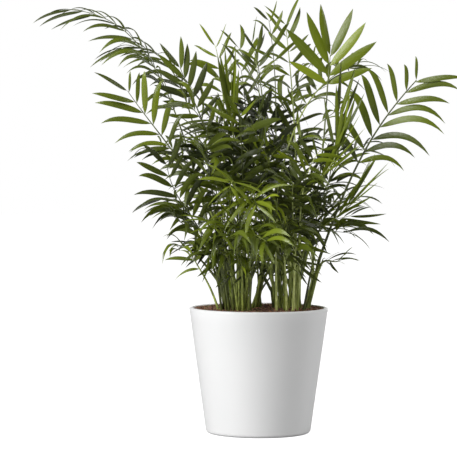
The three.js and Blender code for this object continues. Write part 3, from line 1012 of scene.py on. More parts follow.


# The young shoots listed one by one, most of them at the front, where some spread leaflets like stars.
# Their tones are partly each shoot's own green and partly painted light and shade: lit shoots at the front
# are dealt lighter tones.
SHOOTS = (
    shoot(-50, -40, 268, 160, 318, -50, 0.85, 28, 58, Tone.SPRING),
    shoot(-20, -44, 270, 158, 272, -60, 0.9, 26, 54, Tone.MEADOW),
    shoot(-14, -48, 255, 156, 338, -55, 0.85, 26, 48, Tone.SPRING),
    shoot(-40, -42, 246, 150, 283, -60, 0.85, 26, 50, Tone.MEADOW),
    shoot(-30, -44, 258, 143, 285, 10, 0.6, 46, 48, Tone.MEADOW),
    shoot(-20, -48, 253, 136, 330, 20, 0.7, 40, 40, Tone.LIME),
    shoot(-54, -40, 207, 106, 252, 64, 0.9, 28, 44, Tone.LIME, Habit.YOUNG),
    shoot(52, -42, 313.5, 83, 246, -20, 0.6, 28, 40, Tone.MEADOW),
    shoot(-12, -54, 262, 125, 262, -60, 0.8, 22, 44, Tone.SPRING),
    shoot(34, -46, 286.7, 125, 300, 0, 0.7, 40, 46, Tone.OLIVE),
    shoot(-16, -4, 256, 113, 436, 60, 0.8, 40, 60, Tone.SPRING, Habit.YOUNG),
    shoot(-34, -50, 250.9, 138, 258, -10, 0.6, 52, 54, Tone.MEADOW, Habit.YOUNG),
    shoot(-22, -58, 258.7, 127, 236, -30, 0.6, 44, 46, Tone.SPRING, Habit.YOUNG),
    shoot(-40, -52, 238, 122, 256, -5, 0.6, 44, 44, Tone.OLIVE, Habit.YOUNG),
    shoot(-28, -60, 248, 118, 226, -35, 0.6, 40, 42, Tone.OLIVE, Habit.YOUNG),
    shoot(-50, -46, 228, 112, 262, 0, 0.6, 40, 42, Tone.DEEP, Habit.YOUNG),
    shoot(-14, -60, 268, 120, 246, -25, 0.6, 40, 44, Tone.OLIVE, Habit.YOUNG),
    shoot(38, -48, 283.5, 128, 250, -10, 0.6, 44, 46, Tone.OLIVE, Habit.YOUNG),
    shoot(46, -50, 293.5, 125, 268, 0, 0.6, 46, 50, Tone.MEADOW, Habit.YOUNG),
    shoot(-44, -44, 241.2, 137, 275, 10, 0.6, 50, 52, Tone.OLIVE, Habit.YOUNG),
    shoot(-26, -56, 255.5, 140, 290, 10, 0.6, 40, 50, Tone.SPRING, Habit.YOUNG),
    shoot(24, -52, 277, 138, 299, 0, 0.7, 36, 48, Tone.SPRING, Habit.YOUNG),
    shoot(-44, -6, 218.7, 128, 452, 20, 0.5, 60, 62, Tone.SPRING, Habit.OPEN),
    shoot(30, 6, 300, 24, 566, 72, 0.6, 90, 48, Tone.MEADOW, Habit.LOOSE),
    shoot(4, 12, 120, 22, 540, 74, 0.7, 90, 46, Tone.OLIVE, Habit.LOOSE),
    shoot(60, -40, 331, 122, 440, 84, 0.5, 60, 90, Tone.OLIVE, Habit.SPEAR),
)


@dataclass
class Fill:
    """The seeded fronds that fill the crown from its sides to its back."""

    count: int = 13
    habits: tuple[Habit, ...] = (Habit.FINE, Habit.OPEN, Habit.LOOSE)
    high_habit: Habit = Habit.LOOSE
    high: float = 0.5  # level above which fronds have the high habit
    # Low fronds are dealt darker tones as painted shade inside the crown, high ones lighter tones as painted
    # light.
    tones: tuple[Tone, ...] = (Tone.OLIVE, Tone.DEEP, Tone.DEEP)
    high_tones: tuple[Tone, ...] = (Tone.MEADOW, Tone.OLIVE, Tone.MEADOW)
    bright: float = 0.55  # level above which fronds have the lighter tones, painted light on the top of the crown
    first_bearing: float = -5
    bearing_range: float = 190
    width: float = 150
    depth: float = 190
    bulge: tuple[float, float] = (0.8, 1.02)  # shares of the widest reach, at the ends and half-way up
    top_share: float = 0.6
    rise: tuple[float, float] = (255, 540)
    pitch: tuple[float, float] = (-6, 62)
    leafy: float = 130
    leaf: tuple[float, float] = (70.72, 53.04)
    face: float = 0.35
    cane_stride: int = 5
    reach_spread: float = 0.1
    rise_spread: float = 12
    pitch_spread: float = 8
    leafy_spread: float = 0.14
    leaf_spread: float = 0.1

    def plans(self, canes: int) -> list[Plan]:
        """Plans the fronds, each on the next cane in turn.

        Args:
            canes: How many canes there are.

        Returns:
            The plans.
        """
        plans = []
        for i in range(self.count):
            row = FILL_ROW + i
            level = (i + 0.5) / self.count
            bearing = self.first_bearing + self.bearing_range * ((i * GOLDEN_ANGLE / 360) % 1)
            ahead = heading(bearing)
            reach = math.hypot(ahead[0] * self.width, ahead[1] * self.depth)
            reach *= varied(mix(*self.bulge, math.sin(math.pi * level)), self.reach_spread, row, 1)
            plans.append(
                Plan(
                    habit=self.high_habit if level > self.high else self.habits[i % len(self.habits)],
                    cane=(i * self.cane_stride + 2) % canes,
                    bearing=bearing,
                    reach=reach * mix(1, self.top_share, level * level),
                    rise=mix(*self.rise, level) + self.rise_spread * chance(row, 2),
                    pitch=mix(*self.pitch, level) + self.pitch_spread * chance(row, 3),
                    face=self.face * chance(row, 4),
                    leafy=varied(self.leafy, self.leafy_spread, row, 5),
                    leaf=varied(mix(*self.leaf, level), self.leaf_spread, row, 6),
                    # Lighter tones high up are painted light, darker ones below are painted shade.
                    tone=(self.high_tones if level > self.bright else self.tones)[i % len(self.tones)],
                )
            )
        return plans


@dataclass
class Young:
    """The seeded young shoots that rise between the canes and thicken the crown."""

    count: int = 34
    behind: int = 12  # more of them for the back, which the table leaves thin
    tones: tuple[Tone, ...] = (Tone.SPRING, Tone.OLIVE, Tone.MEADOW, Tone.DEEP, Tone.SPRING, Tone.OLIVE)
    hidden_steps: int = 2  # how many tones darker the shoots behind the front ones are, as painted shade
    first_bearing: float = 40
    back_bearing: float = 35
    back_range: float = 110
    width: float = 118
    depth: float = 125
    least_reach: float = 0.25
    crown: tuple[float, float] = (0.22, 0.86)  # the part of a half wave that the crown's side follows
    rise: tuple[float, float] = (242, 455)
    rise_spread: float = 8
    pitch: tuple[float, float] = (70, 8)  # of the innermost and the outermost shoots
    low_pitch: float = 0.5  # how flat the lowest shoots end, as a share of that pitch
    pitch_spread: float = 10
    leafy: tuple[float, float] = (50, 68)
    leafy_spread: float = 0.3
    leaf: float = 56
    leaf_spread: float = 0.18
    spread: float = 21  # radius of the ground that a clump's shoots start from
    start_turn: float = 1.7  # golden angles from one start to the next
    front: float = 0.3  # how far forward the shoots of the front stand
    front_face: tuple[float, float] = (0.2, 0.85)
    other_face: tuple[float, float] = (-0.3, 0.75)
    seen: tuple[float, float] = (0.6, 0.7)  # how far forward and how far out a shoot must stand to keep its tone; the others get painted shade

    def level(self, i: int) -> float:
        """Returns how high up the crown a shoot ends, from 0 to 1."""
        return ((i * GOLDEN_SHARE) % 1 + 0.5 * (i + 0.5) / self.count) % 1

    def bearing(self, i: int) -> float:
        """Returns the bearing of a shoot's tip round the pot."""
        if i < self.count:
            return i * GOLDEN_ANGLE + self.first_bearing
        return self.back_bearing + self.back_range * ((i * GOLDEN_ANGLE / 360) % 1)

    def plans(self, clumps: Sequence[Clump]) -> list[Plan]:
        """Plans the shoots, clump by clump in turn.

        Args:
            clumps: The clumps of canes that they grow among.

        Returns:
            The plans.
        """
        plans = []
        for i in range(self.count + self.behind):
            row = YOUNG_ROW + i
            clump = clumps[i % len(clumps)]
            level, bearing = self.level(i), self.bearing(i)
            ahead = heading(bearing)
            widest = math.hypot(ahead[0] * self.width, ahead[1] * self.depth)
            out = math.sqrt(even_chance(row, 1))
            bulge = math.sin(math.pi * mix(*self.crown, level))
            turned = heading(i * GOLDEN_ANGLE * self.start_turn)
            offset = turned * self.spread * math.sqrt(even_chance(row, 7))
            forward = max(0.0, -ahead[1])
            # Shoots that stand forward and out keep their tone; the rest are dealt darker tones as painted
            # shade.
            seen = forward > self.seen[0] and out > self.seen[1]
            if forward >= self.front:
                face = mix(*self.front_face, forward)
            else:
                face = mix(*self.other_face, even_chance(row, 4))
            plans.append(
                Plan(
                    habit=Habit.YOUNG,
                    cane=-1,
                    bearing=bearing,
                    reach=widest * mix(self.least_reach, 1.0, out) * bulge,
                    rise=mix(*self.rise, level) + self.rise_spread * chance(row, 2),
                    pitch=mix(*self.pitch, out) * mix(self.low_pitch, 1.0, level)
                    + self.pitch_spread * chance(row, 3),
                    face=face,
                    leafy=varied(mix(*self.leafy, level), self.leafy_spread, row, 5),
                    leaf=varied(self.leaf, self.leaf_spread, row, 6),
                    tone=self.tones[i % len(self.tones)].shifted(0 if seen else self.hidden_steps),
                    start=(clump.x + offset[0], clump.y + offset[1]),
                )
            )
        return plans


@dataclass
class Crown:
    """The rule that grows the fronds out of the canes and the young shoots out of the soil."""

    bed: CaneBed
    canes: list[Cane]
    rib_foot: float = 2.1
    samples: int = 97
    curve_steps: int = 401
    cane_points: int = 25
    top_lean: float = 0.1  # how far the first stalk of a cane leans off its axis
    side_lean: float = 0.16
    first_seat: float = 1.02  # share of the cane's height, from which each further stalk sits lower
    seat_step: float = 0.17
    shoot_lean: float = 0.12
    shoot_slack: float = 0.35
    run_out: float = 0.3  # how long the rib's end keeps its last direction, as a share of its chord
    least_neck: float = 0.2
    clear: float = 1.6
    bow: float = 5
    bow_tries: int = 21
    bow_turn: float = 1.2  # degrees that the foot walks round its cane for each millimetre of bow

    def seat(self, cane: Cane, order: int, away: np.ndarray) -> tuple[np.ndarray, np.ndarray]:
        """Finds where a rib leaves its cane: the first at the top, the others lower and lower.

        Args:
            cane: The cane.
            order: How many fronds the cane bears already.
            away: The level direction that the rib leaves in.

        Returns:
            The rib's foot and its first direction.
        """
        if order == 0:
            return cane.foot + cane.axis * (cane.height + GAP), cane.axis + away * self.top_lean
        share = self.first_seat - self.seat_step * order
        stand = self.bed.radius(cane, share) + self.rib_foot / 2 + GAP
        return cane.at(share) + away * stand, cane.axis + away * self.side_lean

    def line(self, plan: Plan, cane: Cane | None, order: int, bow: float) -> Rib:
        """Draws a rib as points at even steps along a smooth curve.

        Args:
            plan: The frond's plan.
            cane: The cane that bears it, or none for a young shoot.
            order: How many fronds the cane bears already.
            bow: How far the rib bows sideways.

        Returns:
            The rib.
        """
        tip = heading(plan.bearing) * plan.reach
        tip[2] = plan.rise
        top = cane.at(1) if cane else np.array([*plan.start, 0.0])
        ahead = unit(np.array([tip[0] - top[0], tip[1] - top[1], 0.0]))
        sideways = np.cross(UP, ahead)
        seatward = turned_about(ahead, UP, math.radians(bow * self.bow_turn))
        if cane:
            foot, rise = self.seat(cane, order, seatward)
        else:
            foot = np.array([*plan.start, self.bed.soil_top])
            steep = (plan.rise - self.bed.soil_top) / math.dist(plan.start, tip[:2])
            rise = UP + ahead * (self.shoot_lean + self.shoot_slack / steep)
        chord = np.linalg.norm(tip - foot)
        pitch = math.radians(plan.pitch)
        ending = ahead * math.cos(pitch) + UP * math.sin(pitch)
        first = foot + unit(rise) * chord * plan.habit.value.stiff + sideways * bow
        second = tip - ending * chord * self.run_out + sideways * bow
        steps = np.linspace(0, 1, self.curve_steps)

        def bezier(t: np.ndarray) -> np.ndarray:
            """Gives the curve's points at its own parameter."""
            t = t[:, None]
            u = 1 - t
            return u**3 * foot + 3 * u**2 * t * first + 3 * u * t**2 * second + t**3 * tip

        gone = np.concatenate([[0.0], np.cumsum(np.linalg.norm(np.diff(bezier(steps), axis=0), axis=1))])
        even = np.interp(np.linspace(0, gone[-1], self.samples), gone, steps)
        return Rib(plan, bezier(even), float(gone[-1]), np.cross(UP, seatward))

    def clearest(self, plan: Plan, order: int, near: np.ndarray, thick: np.ndarray) -> Rib:
        """Bows a cane's rib as little as keeps it clear of what stands near.

        Args:
            plan: The frond's plan.
            order: How many fronds its cane bears already.
            near: Points along the other canes and ribs.
            thick: The radius at each of those points.

        Returns:
            The first rib that is clear, or the one with the most room.
        """
        best = None
        for trial in range(self.bow_tries):
            side = 1 if trial % 2 == 0 else -1
            rib = self.line(plan, self.canes[plan.cane], order, side * math.ceil(trial / 2) * self.bow)
            squares = (near**2).sum(1)[:, None] + (rib.points**2).sum(1)[None] - 2 * near @ rib.points.T
            apart = np.sqrt(np.maximum(squares, 0))
            rib.room = float((apart.min(1) - thick).min())
            if best is None or rib.room > best.room:
                best = rib
            if rib.room > self.rib_foot + self.clear:
                break
        return best

    def grow(self, plans: Sequence[Plan]) -> list[Rib]:
        """Grows a rib for each plan, and keeps those of the canes clear of one another.

        Args:
            plans: The plans, in the order of their solids.

        Returns:
            The ribs in the same order.
        """
        count = self.cane_points
        others = np.concatenate([[cane.at(k / (count - 1)) for k in range(count)] for cane in self.canes])
        radii = np.repeat([cane.radius for cane in self.canes], count)
        owners = np.repeat(np.arange(len(self.canes)), count)
        taken = [0] * len(self.canes)
        ribs = []
        for plan in plans:
            if plan.start is not None:
                rib = self.line(plan, None, 0, 0)
            else:
                strangers = owners != plan.cane
                rib = self.clearest(plan, taken[plan.cane], others[strangers], radii[strangers])
                taken[plan.cane] += 1
            rib.neck = max(self.least_neck, 1 - plan.leafy / rib.length)
            rib.face()
            others = np.concatenate([others, rib.points])
            radii = np.concatenate([radii, np.full(len(rib.points), self.rib_foot)])
            owners = np.concatenate([owners, np.full(len(rib.points), -1)])
            ribs.append(rib)
        return ribs


# ---------- leaflets


@dataclass
class Leaflets:
    """The leaflets of every frond, each in the rule's stance with a little of its own."""

    uv_name = "leaf_uv"
    thickness: float = 0.42
    finer: float = 0.98  # step between pairs, as a share of the stance's step
    fewest: int = 3  # pairs on a rib
    missing: tuple[float, float] = (0.15, 0.36)  # shares of leaflets fallen, low in the crown and on top
    bare_rise: tuple[float, float] = (380, 500)  # heights between which that share grows
    darker_above: float = 0.5  # chance above which a leaflet has the next darker tone
    lighter_below: float = -0.6
    stagger: float = 0.16  # how far the left leaflets stand below the right ones, in steps
    lowest: float = 0.74
    longest: float = 0.35
    last: float = 0.8
    cup: float = 0.2
    spring: float = 0.4  # how far a leaflet arches up before it falls, as a share of the fall
    wild: float = 1.9  # how much the leaflets inside the crown differ from their stance
    calm: float = 0.7  # the same for the outline's
    calmest: float = 0.35  # and for broad fronds'
    angle_spread: float = 7
    lift_spread: float = 9
    twist_spread: float = 38
    length_spread: float = 0.08
    width_spread: float = 0.12
    fall_spread: float = 0.25
    fall_share: tuple[float, float] = (1.15, 0.3)  # of the lowest leaflets and the last ones
    sweep_spread: float = 0.4
    hook_spread: float = 0.25
    curl_spread: float = 0.6
    over_spread: float = 0.5
    off_axis: float = 0.4
    over_slope: tuple[float, float] = (0.2, 0.5)  # slopes at which a leaflet stands above the rib
    over_bend: tuple[float, float] = (0.6, 0.4)  # how far such a leaflet bends outwards and down
    short_over: float = 0.6  # how much shorter the last leaflets above the rib are
    curl_over: float = 0.42  # how far the leaflets above the rib bend over outwards, in lengths
    rows: int = 12
    columns: int = 3
    hover: float = 2.0  # how far the lowest tips stay above the soil
    fold: float = 1.4  # 1 folds the blade like a V, 2 rounds it
    weld: float = 0.000002  # metres within which the two sheets are joined
    outline: tuple[tuple[float, float], ...] = (
        (0.0, 0.0), (0.04, 0.26), (0.12, 0.62), (0.26, 0.93), (0.42, 1.0),
        (0.6, 0.95), (0.77, 0.72), (0.9, 0.36), (1.0, 0.0),
    )
    table: dict[Tone, list[dict]] = field(default_factory=dict)

    def share(self, t: float) -> float:
        """Gives a leaflet's length as a share of the longest.

        Args:
            t: Where it stands along the leafy rib, from 0 to 1.

        Returns:
            The share.
        """
        if t < self.longest:
            return mix(self.lowest, 1, t / self.longest)
        return mix(1, self.last, (t - self.longest) / (1 - self.longest))

    def sprout(self, ribs: Sequence[Rib]) -> None:
        """Works out every leaflet of some ribs.

        Args:
            ribs: The ribs, in the order of their solids.
        """
        for index, rib in enumerate(ribs):
            stance = rib.plan.habit.value
            pairs = max(self.fewest, round(rib.plan.leafy / (stance.spacing * self.finer)) + 1)
            for pair in range(pairs):
                for side in (-1, 1):
                    seed = LEAFLET_ROW + index * LEAFLETS_EACH + pair * 2 + (side > 0)
                    if even_chance(seed, 9) < self.gaps(rib, index):
                        continue
                    roll = chance(seed, 10)
                    darker = int(roll > self.darker_above) - int(roll < self.lighter_below)
                    tone = rib.plan.tone.shifted(darker)
                    inside = index >= len(OUTLINE) or rib.plan.habit in (Habit.FINE, Habit.LOOSE)
                    leaf = self.leaflet(rib, pair, pairs, side, seed, inside)
                    leaf["frond"] = index
                    self.table.setdefault(tone, []).append(leaf)

    def gaps(self, rib: Rib, index: int) -> float:
        """Gives the share of leaflets that a frond has lost: none at the outline, most at the top.

        Args:
            rib: The frond's rib.
            index: Its number.

        Returns:
            The share.
        """
        if index < len(OUTLINE):
            return 0.0
        return mix(*self.missing, smoothstep(rib.plan.rise, *self.bare_rise))

    def leaflet(self, rib: Rib, pair: int, pairs: int, side: int, seed: int, inside: bool) -> dict:
        """Works out one leaflet.

        Args:
            rib: The rib that bears it.
            pair: Its pair, from the lowest.
            pairs: How many pairs the rib has.
            side: -1 on the left and 1 on the right.
            seed: The row of its own chances.
            inside: True where the frond fills the crown.

        Returns:
            Its root, axes, sizes and bends by the names of the tree's attributes.
        """
        plan, stance = rib.plan, rib.plan.habit.value
        wild = self.calmest if plan.habit is Habit.BROAD else self.wild if inside else self.calm
        t = pair / (pairs - 1)
        if side < 0 and pair:
            t -= self.stagger / (pairs - 1)
        point, tangent, outward, up = rib.frame(mix(rib.neck, 1, t))
        angle = math.radians(mix(stance.base, stance.tip, t) + self.angle_spread * wild * chance(seed, 1))
        lift = math.radians(stance.lift + self.lift_spread * wild * chance(seed, 2))
        flat = tangent * math.cos(angle) + outward * side * math.sin(angle)
        aim = unit(flat * math.cos(lift) + up * math.sin(lift))
        length = varied(plan.leaf * self.share(t), self.length_spread * wild, seed, 3)
        over = smoothstep(outward[2] * side, *self.over_slope) * stance.hook
        length *= 1 - self.short_over * over * smoothstep(t, 0.5, 1)
        level = math.sqrt(max(0.0, 1 - aim[2] ** 2))
        fall = stance.droop * length * level * mix(*self.fall_share, t)
        fall = varied(fall, self.fall_spread, seed, 4)
        front = unit(tangent - aim * np.dot(tangent, aim))
        away = unit(outward * side * (1, 1, 0) + 1e-9)
        above = np.cross(front, aim) * side
        root = point + outward * side * self.off_axis
        low = root[2] + aim[2] * length - fall
        fall -= max(0.0, CaneBed.soil_top + self.hover - low)
        sweep = varied(stance.sweep, self.sweep_spread, seed, 5)
        half = varied(stance.slender / 2, self.width_spread * wild, seed, 6)
        curl = varied(stance.curl, self.curl_spread, seed, 11)
        bend = varied(self.curl_over * over, self.over_spread, seed, 12)
        return {
            "root": root * MM,
            "aim": aim,
            "lateral": np.cross(above, aim),
            "bow": -front * length * sweep * MM,
            "long": length * MM,
            "half": length * half * MM,
            "fall": fall * MM,
            "hook": min(1.0, max(0.0, stance.hook + self.hook_spread * chance(seed, 7))),
            "twist": math.radians(self.twist_spread * wild * chance(seed, 8)),
            "curl": ((away * self.over_bend[0] - UP * self.over_bend[1]) * bend - above * curl) * length * MM,
        }

    def tree(self) -> Tree:
        """Builds the tree that turns rows of leaflets into thin bent blades.

        Returns:
            The geometry node tree.
        """
        graph, given = geometry_tree(
            "leaflet blades",
            {"Rows": 11, "Thickness": 0.0004, "Cup": 0.16, "Upper Finish": None, "Under Finish": None},
        )
        blade = self.template(graph, given["Rows"])
        points = graph.add("GeometryNodeMeshToPoints", given["Geometry"])
        bent = {"Geometry": graph.strewn(points, blade), "Position": self.bent_place(graph, given)}
        placed = graph.wired("GeometryNodeSetPosition", bent)
        joint = {"Geometry": placed, "Distance": self.weld}
        whole = graph.wired("GeometryNodeMergeByDistance", joint)
        smooth = graph.add("GeometryNodeSetShadeSmooth", whole, domain="FACE")
        sharp = {"Geometry": smooth, "Selection": graph.attribute("rim", "BOOLEAN"), "Shade Smooth": False}
        rim = graph.wired("GeometryNodeSetShadeSmooth", sharp, domain="EDGE")
        upper = graph.dressed(rim, given["Upper Finish"])
        under = graph.dressed(upper, given["Under Finish"], graph.attribute("under", "BOOLEAN"))
        graph.add("NodeGroupOutput", under)
        return graph.tree

    def template(self, graph: Graph, rows: Socket) -> Socket:
        """Makes the flat blade of two sheets that every leaflet starts as.

        Args:
            graph: The tree's graph.
            rows: How many rows of points run along the blade.

        Returns:
            The blade, its points drawn together and their places kept as attributes.
        """
        sheets = []
        for under in (False, True):
            grid = graph.add("GeometryNodeMeshGrid", 1.0, 2.0, rows, self.columns)
            if under:
                grid = graph.add("GeometryNodeFlipFaces", grid)
            grid = graph.store(grid, "under", under, "BOOLEAN", "FACE")
            sheets.append(graph.store(grid, "layer", -1.0 if under else 1.0))
        blade = graph.add("GeometryNodeJoinGeometry")
        for sheet in reversed(sheets):
            graph.feed(blade.inputs[0], sheet)
        where = graph.add("ShaderNodeSeparateXYZ", graph.add("GeometryNodeInputPosition"))
        blade = graph.store(blade, "along", graph.math("ADD", where, 0.5))
        blade = graph.store(blade, "across", where.outputs[1])
        across = graph.attribute("across")
        at_rim = graph.math("GREATER_THAN", graph.math("ABSOLUTE", across), 0.99)
        blade = graph.store(blade, "rim", at_rim, "BOOLEAN")
        half_way = graph.math("MULTIPLY_ADD", across, 0.5, 0.5)
        uv = graph.add("ShaderNodeCombineXYZ", graph.attribute("along"), half_way)
        blade = graph.store(blade, self.uv_name, uv, "FLOAT2", "CORNER")
        arch = graph.math("SUBTRACT", 1.0, graph.product(across, across))
        # The sheets stand apart while points are joined, so that they meet at the rim only.
        height = graph.upright(graph.product(graph.attribute("layer"), arch, 0.1))
        apart = graph.wired("GeometryNodeSetPosition", {"Geometry": blade, "Offset": height})
        closed = graph.wired("GeometryNodeMergeByDistance", {"Geometry": apart, "Distance": 0.001})
        drawn = {"Geometry": closed, "Position": (0.0, 0.0, 0.0)}
        return graph.wired("GeometryNodeSetPosition", drawn).outputs[0]

    def bent_place(self, graph: Graph, given: Sockets) -> Socket:
        """Works out where a point of the flat blade lies on the bent one.

        Args:
            graph: The tree's graph.
            given: The sockets of what it is given.

        Returns:
            The point's place.
        """
        along, across, layer = (graph.attribute(name) for name in ("along", "across", "layer"))
        long, half, fall, hook = (graph.attribute(name) for name in ("long", "half", "fall", "hook"))
        vectors = ("root", "aim", "lateral", "bow", "curl")
        root, aim, lateral, bow, curl = (graph.attribute(name, "FLOAT_VECTOR") for name in vectors)
        # late and arc are the fall and the bow along the blade, steeper and slope are their slopes.
        square = graph.product(along, along)
        cube = graph.product(square, along)
        early = graph.math("SUBTRACT", 1.0, hook)
        late = graph.math("ADD", graph.product(square, early), graph.product(square, square, hook))
        steeper = graph.math("ADD", graph.product(along, 2.0, early), graph.product(cube, 4.0, hook))
        arc = graph.product(along, graph.math("SUBTRACT", 1.0, along), 4.0)
        slope = graph.math("MULTIPLY_ADD", along, -8.0, 4.0)
        spring = graph.product(hook, self.spring)
        drop = graph.math("SUBTRACT", late, graph.product(arc, spring))
        steep = graph.math("SUBTRACT", steeper, graph.product(slope, spring))
        centre = graph.total(
            root,
            graph.scaled(aim, graph.product(long, along)),
            graph.upright(graph.product(fall, drop, -1.0)),
            graph.scaled(bow, arc),
            graph.scaled(curl, cube),
        )
        tangent = graph.total(
            graph.scaled(aim, long),
            graph.upright(graph.product(fall, steep, -1.0)),
            graph.scaled(bow, slope),
            graph.scaled(curl, graph.product(square, 3.0)),
        )
        normal = graph.vector("NORMALIZE", graph.vector("CROSS_PRODUCT", tangent, lateral))
        side = graph.vector("NORMALIZE", graph.vector("CROSS_PRODUCT", normal, tangent))
        turn = graph.product(graph.attribute("twist"), along)
        cos, sin = graph.math("COSINE", turn), graph.math("SINE", turn)
        turned_side = graph.total(graph.scaled(side, cos), graph.scaled(normal, sin))
        turned_up = graph.vector("SUBTRACT", graph.scaled(normal, cos), graph.scaled(side, sin))
        outline = graph.curve(along, self.outline)
        width = graph.product(half, outline)
        fold = graph.math("POWER", graph.math("ABSOLUTE", across), self.fold)
        sag = graph.product(fold, width, given["Cup"])
        arch = graph.math("SUBTRACT", 1.0, graph.product(across, across))
        ends = graph.math("MINIMUM", graph.product(outline, 3.0), 1.0)
        thick = graph.product(arch, layer, 0.5, given["Thickness"], ends)
        return graph.total(
            centre,
            graph.scaled(turned_side, graph.product(width, across)),
            graph.scaled(turned_up, graph.math("SUBTRACT", thick, sag)),
        )

    def build(self, ribs: Sequence[Rib]) -> None:
        """Makes one piece of leaflets for each tone.

        Args:
            ribs: All ribs, in the order of their solids.
        """
        self.sprout(ribs)
        tree = self.tree()
        solids = sum(rib.plan.start is None for rib in ribs)
        for tone in Tone:
            rows = self.table.get(tone, [])
            fronds = sorted({row.pop("frond") for row in rows})
            obj = mesh_object(f"leaflets_{tone.word}", [row["root"] for row in rows])
            for name in rows[0]:
                add_attribute(obj, name, [row[name] for row in rows])
            settle(
                obj,
                tree,
                {
                    "Rows": self.rows,
                    "Thickness": self.thickness * MM,
                    "Cup": self.cup,
                    "Upper Finish": tone.finish(LeafSide.UPPER).material(),
                    "Under Finish": tone.finish(LeafSide.UNDER).material(),
                },
            )
            drop_attributes(obj, [*rows[0], "along", "across", "layer", "rim", "under"])
            log.info("%d leaflets in tone %s", len(rows), tone.word)
            place(obj, "frond", [numbered("frond", i) for i in fronds if i < solids])


# ---------- stalks, sheaths and canes


@dataclass
class Tube:
    """A line of points with the radius at each, in millimetres."""

    points: np.ndarray
    radii: np.ndarray


def tube_tree() -> Tree:
    """Builds the tree that wraps a round skin about lines, as thick as their girth.

    Returns:
        The geometry node tree.
    """
    graph, given = geometry_tree("round stems", {"Sides": 8, "Finish": None})
    line = graph.add("GeometryNodeMeshToCurve", given["Geometry"])
    round_section = {"Resolution": given["Sides"], "Radius": 1.0}
    circle = graph.wired("GeometryNodeCurvePrimitiveCircle", round_section)
    swept = {"Curve": line, "Profile Curve": circle, "Scale": graph.attribute("girth"), "Fill Caps": True}
    skin = graph.wired("GeometryNodeCurveToMesh", swept)
    smooth = graph.add("GeometryNodeSetShadeSmooth", skin, domain="FACE")
    real = graph.add("GeometryNodeRealizeInstances", smooth)
    graph.add("NodeGroupOutput", graph.dressed(real, given["Finish"]))
    return graph.tree


def build_tubes(name: str, tubes: Sequence[Tube], sides: int, finish: Finish) -> Object:
    """Makes one piece of some tubes.

    Args:
        name: The piece's name.
        tubes: The tubes.
        sides: How many sides their section has.
        finish: Their finish.

    Returns:
        The piece.
    """
    points, edges, girth = [], [], []
    for tube in tubes:
        first = len(points)
        points.extend(tube.points * MM)
        girth.extend(tube.radii * MM)
        edges.extend((first + k, first + k + 1) for k in range(len(tube.points) - 1))
    obj = mesh_object(name, points, edges)
    add_attribute(obj, "girth", girth)
    tree = bpy.data.node_groups.get("round stems") or tube_tree()
    settle(obj, tree, {"Sides": sides, "Finish": finish.material()})
    drop_attributes(obj, ["girth"])
    return obj


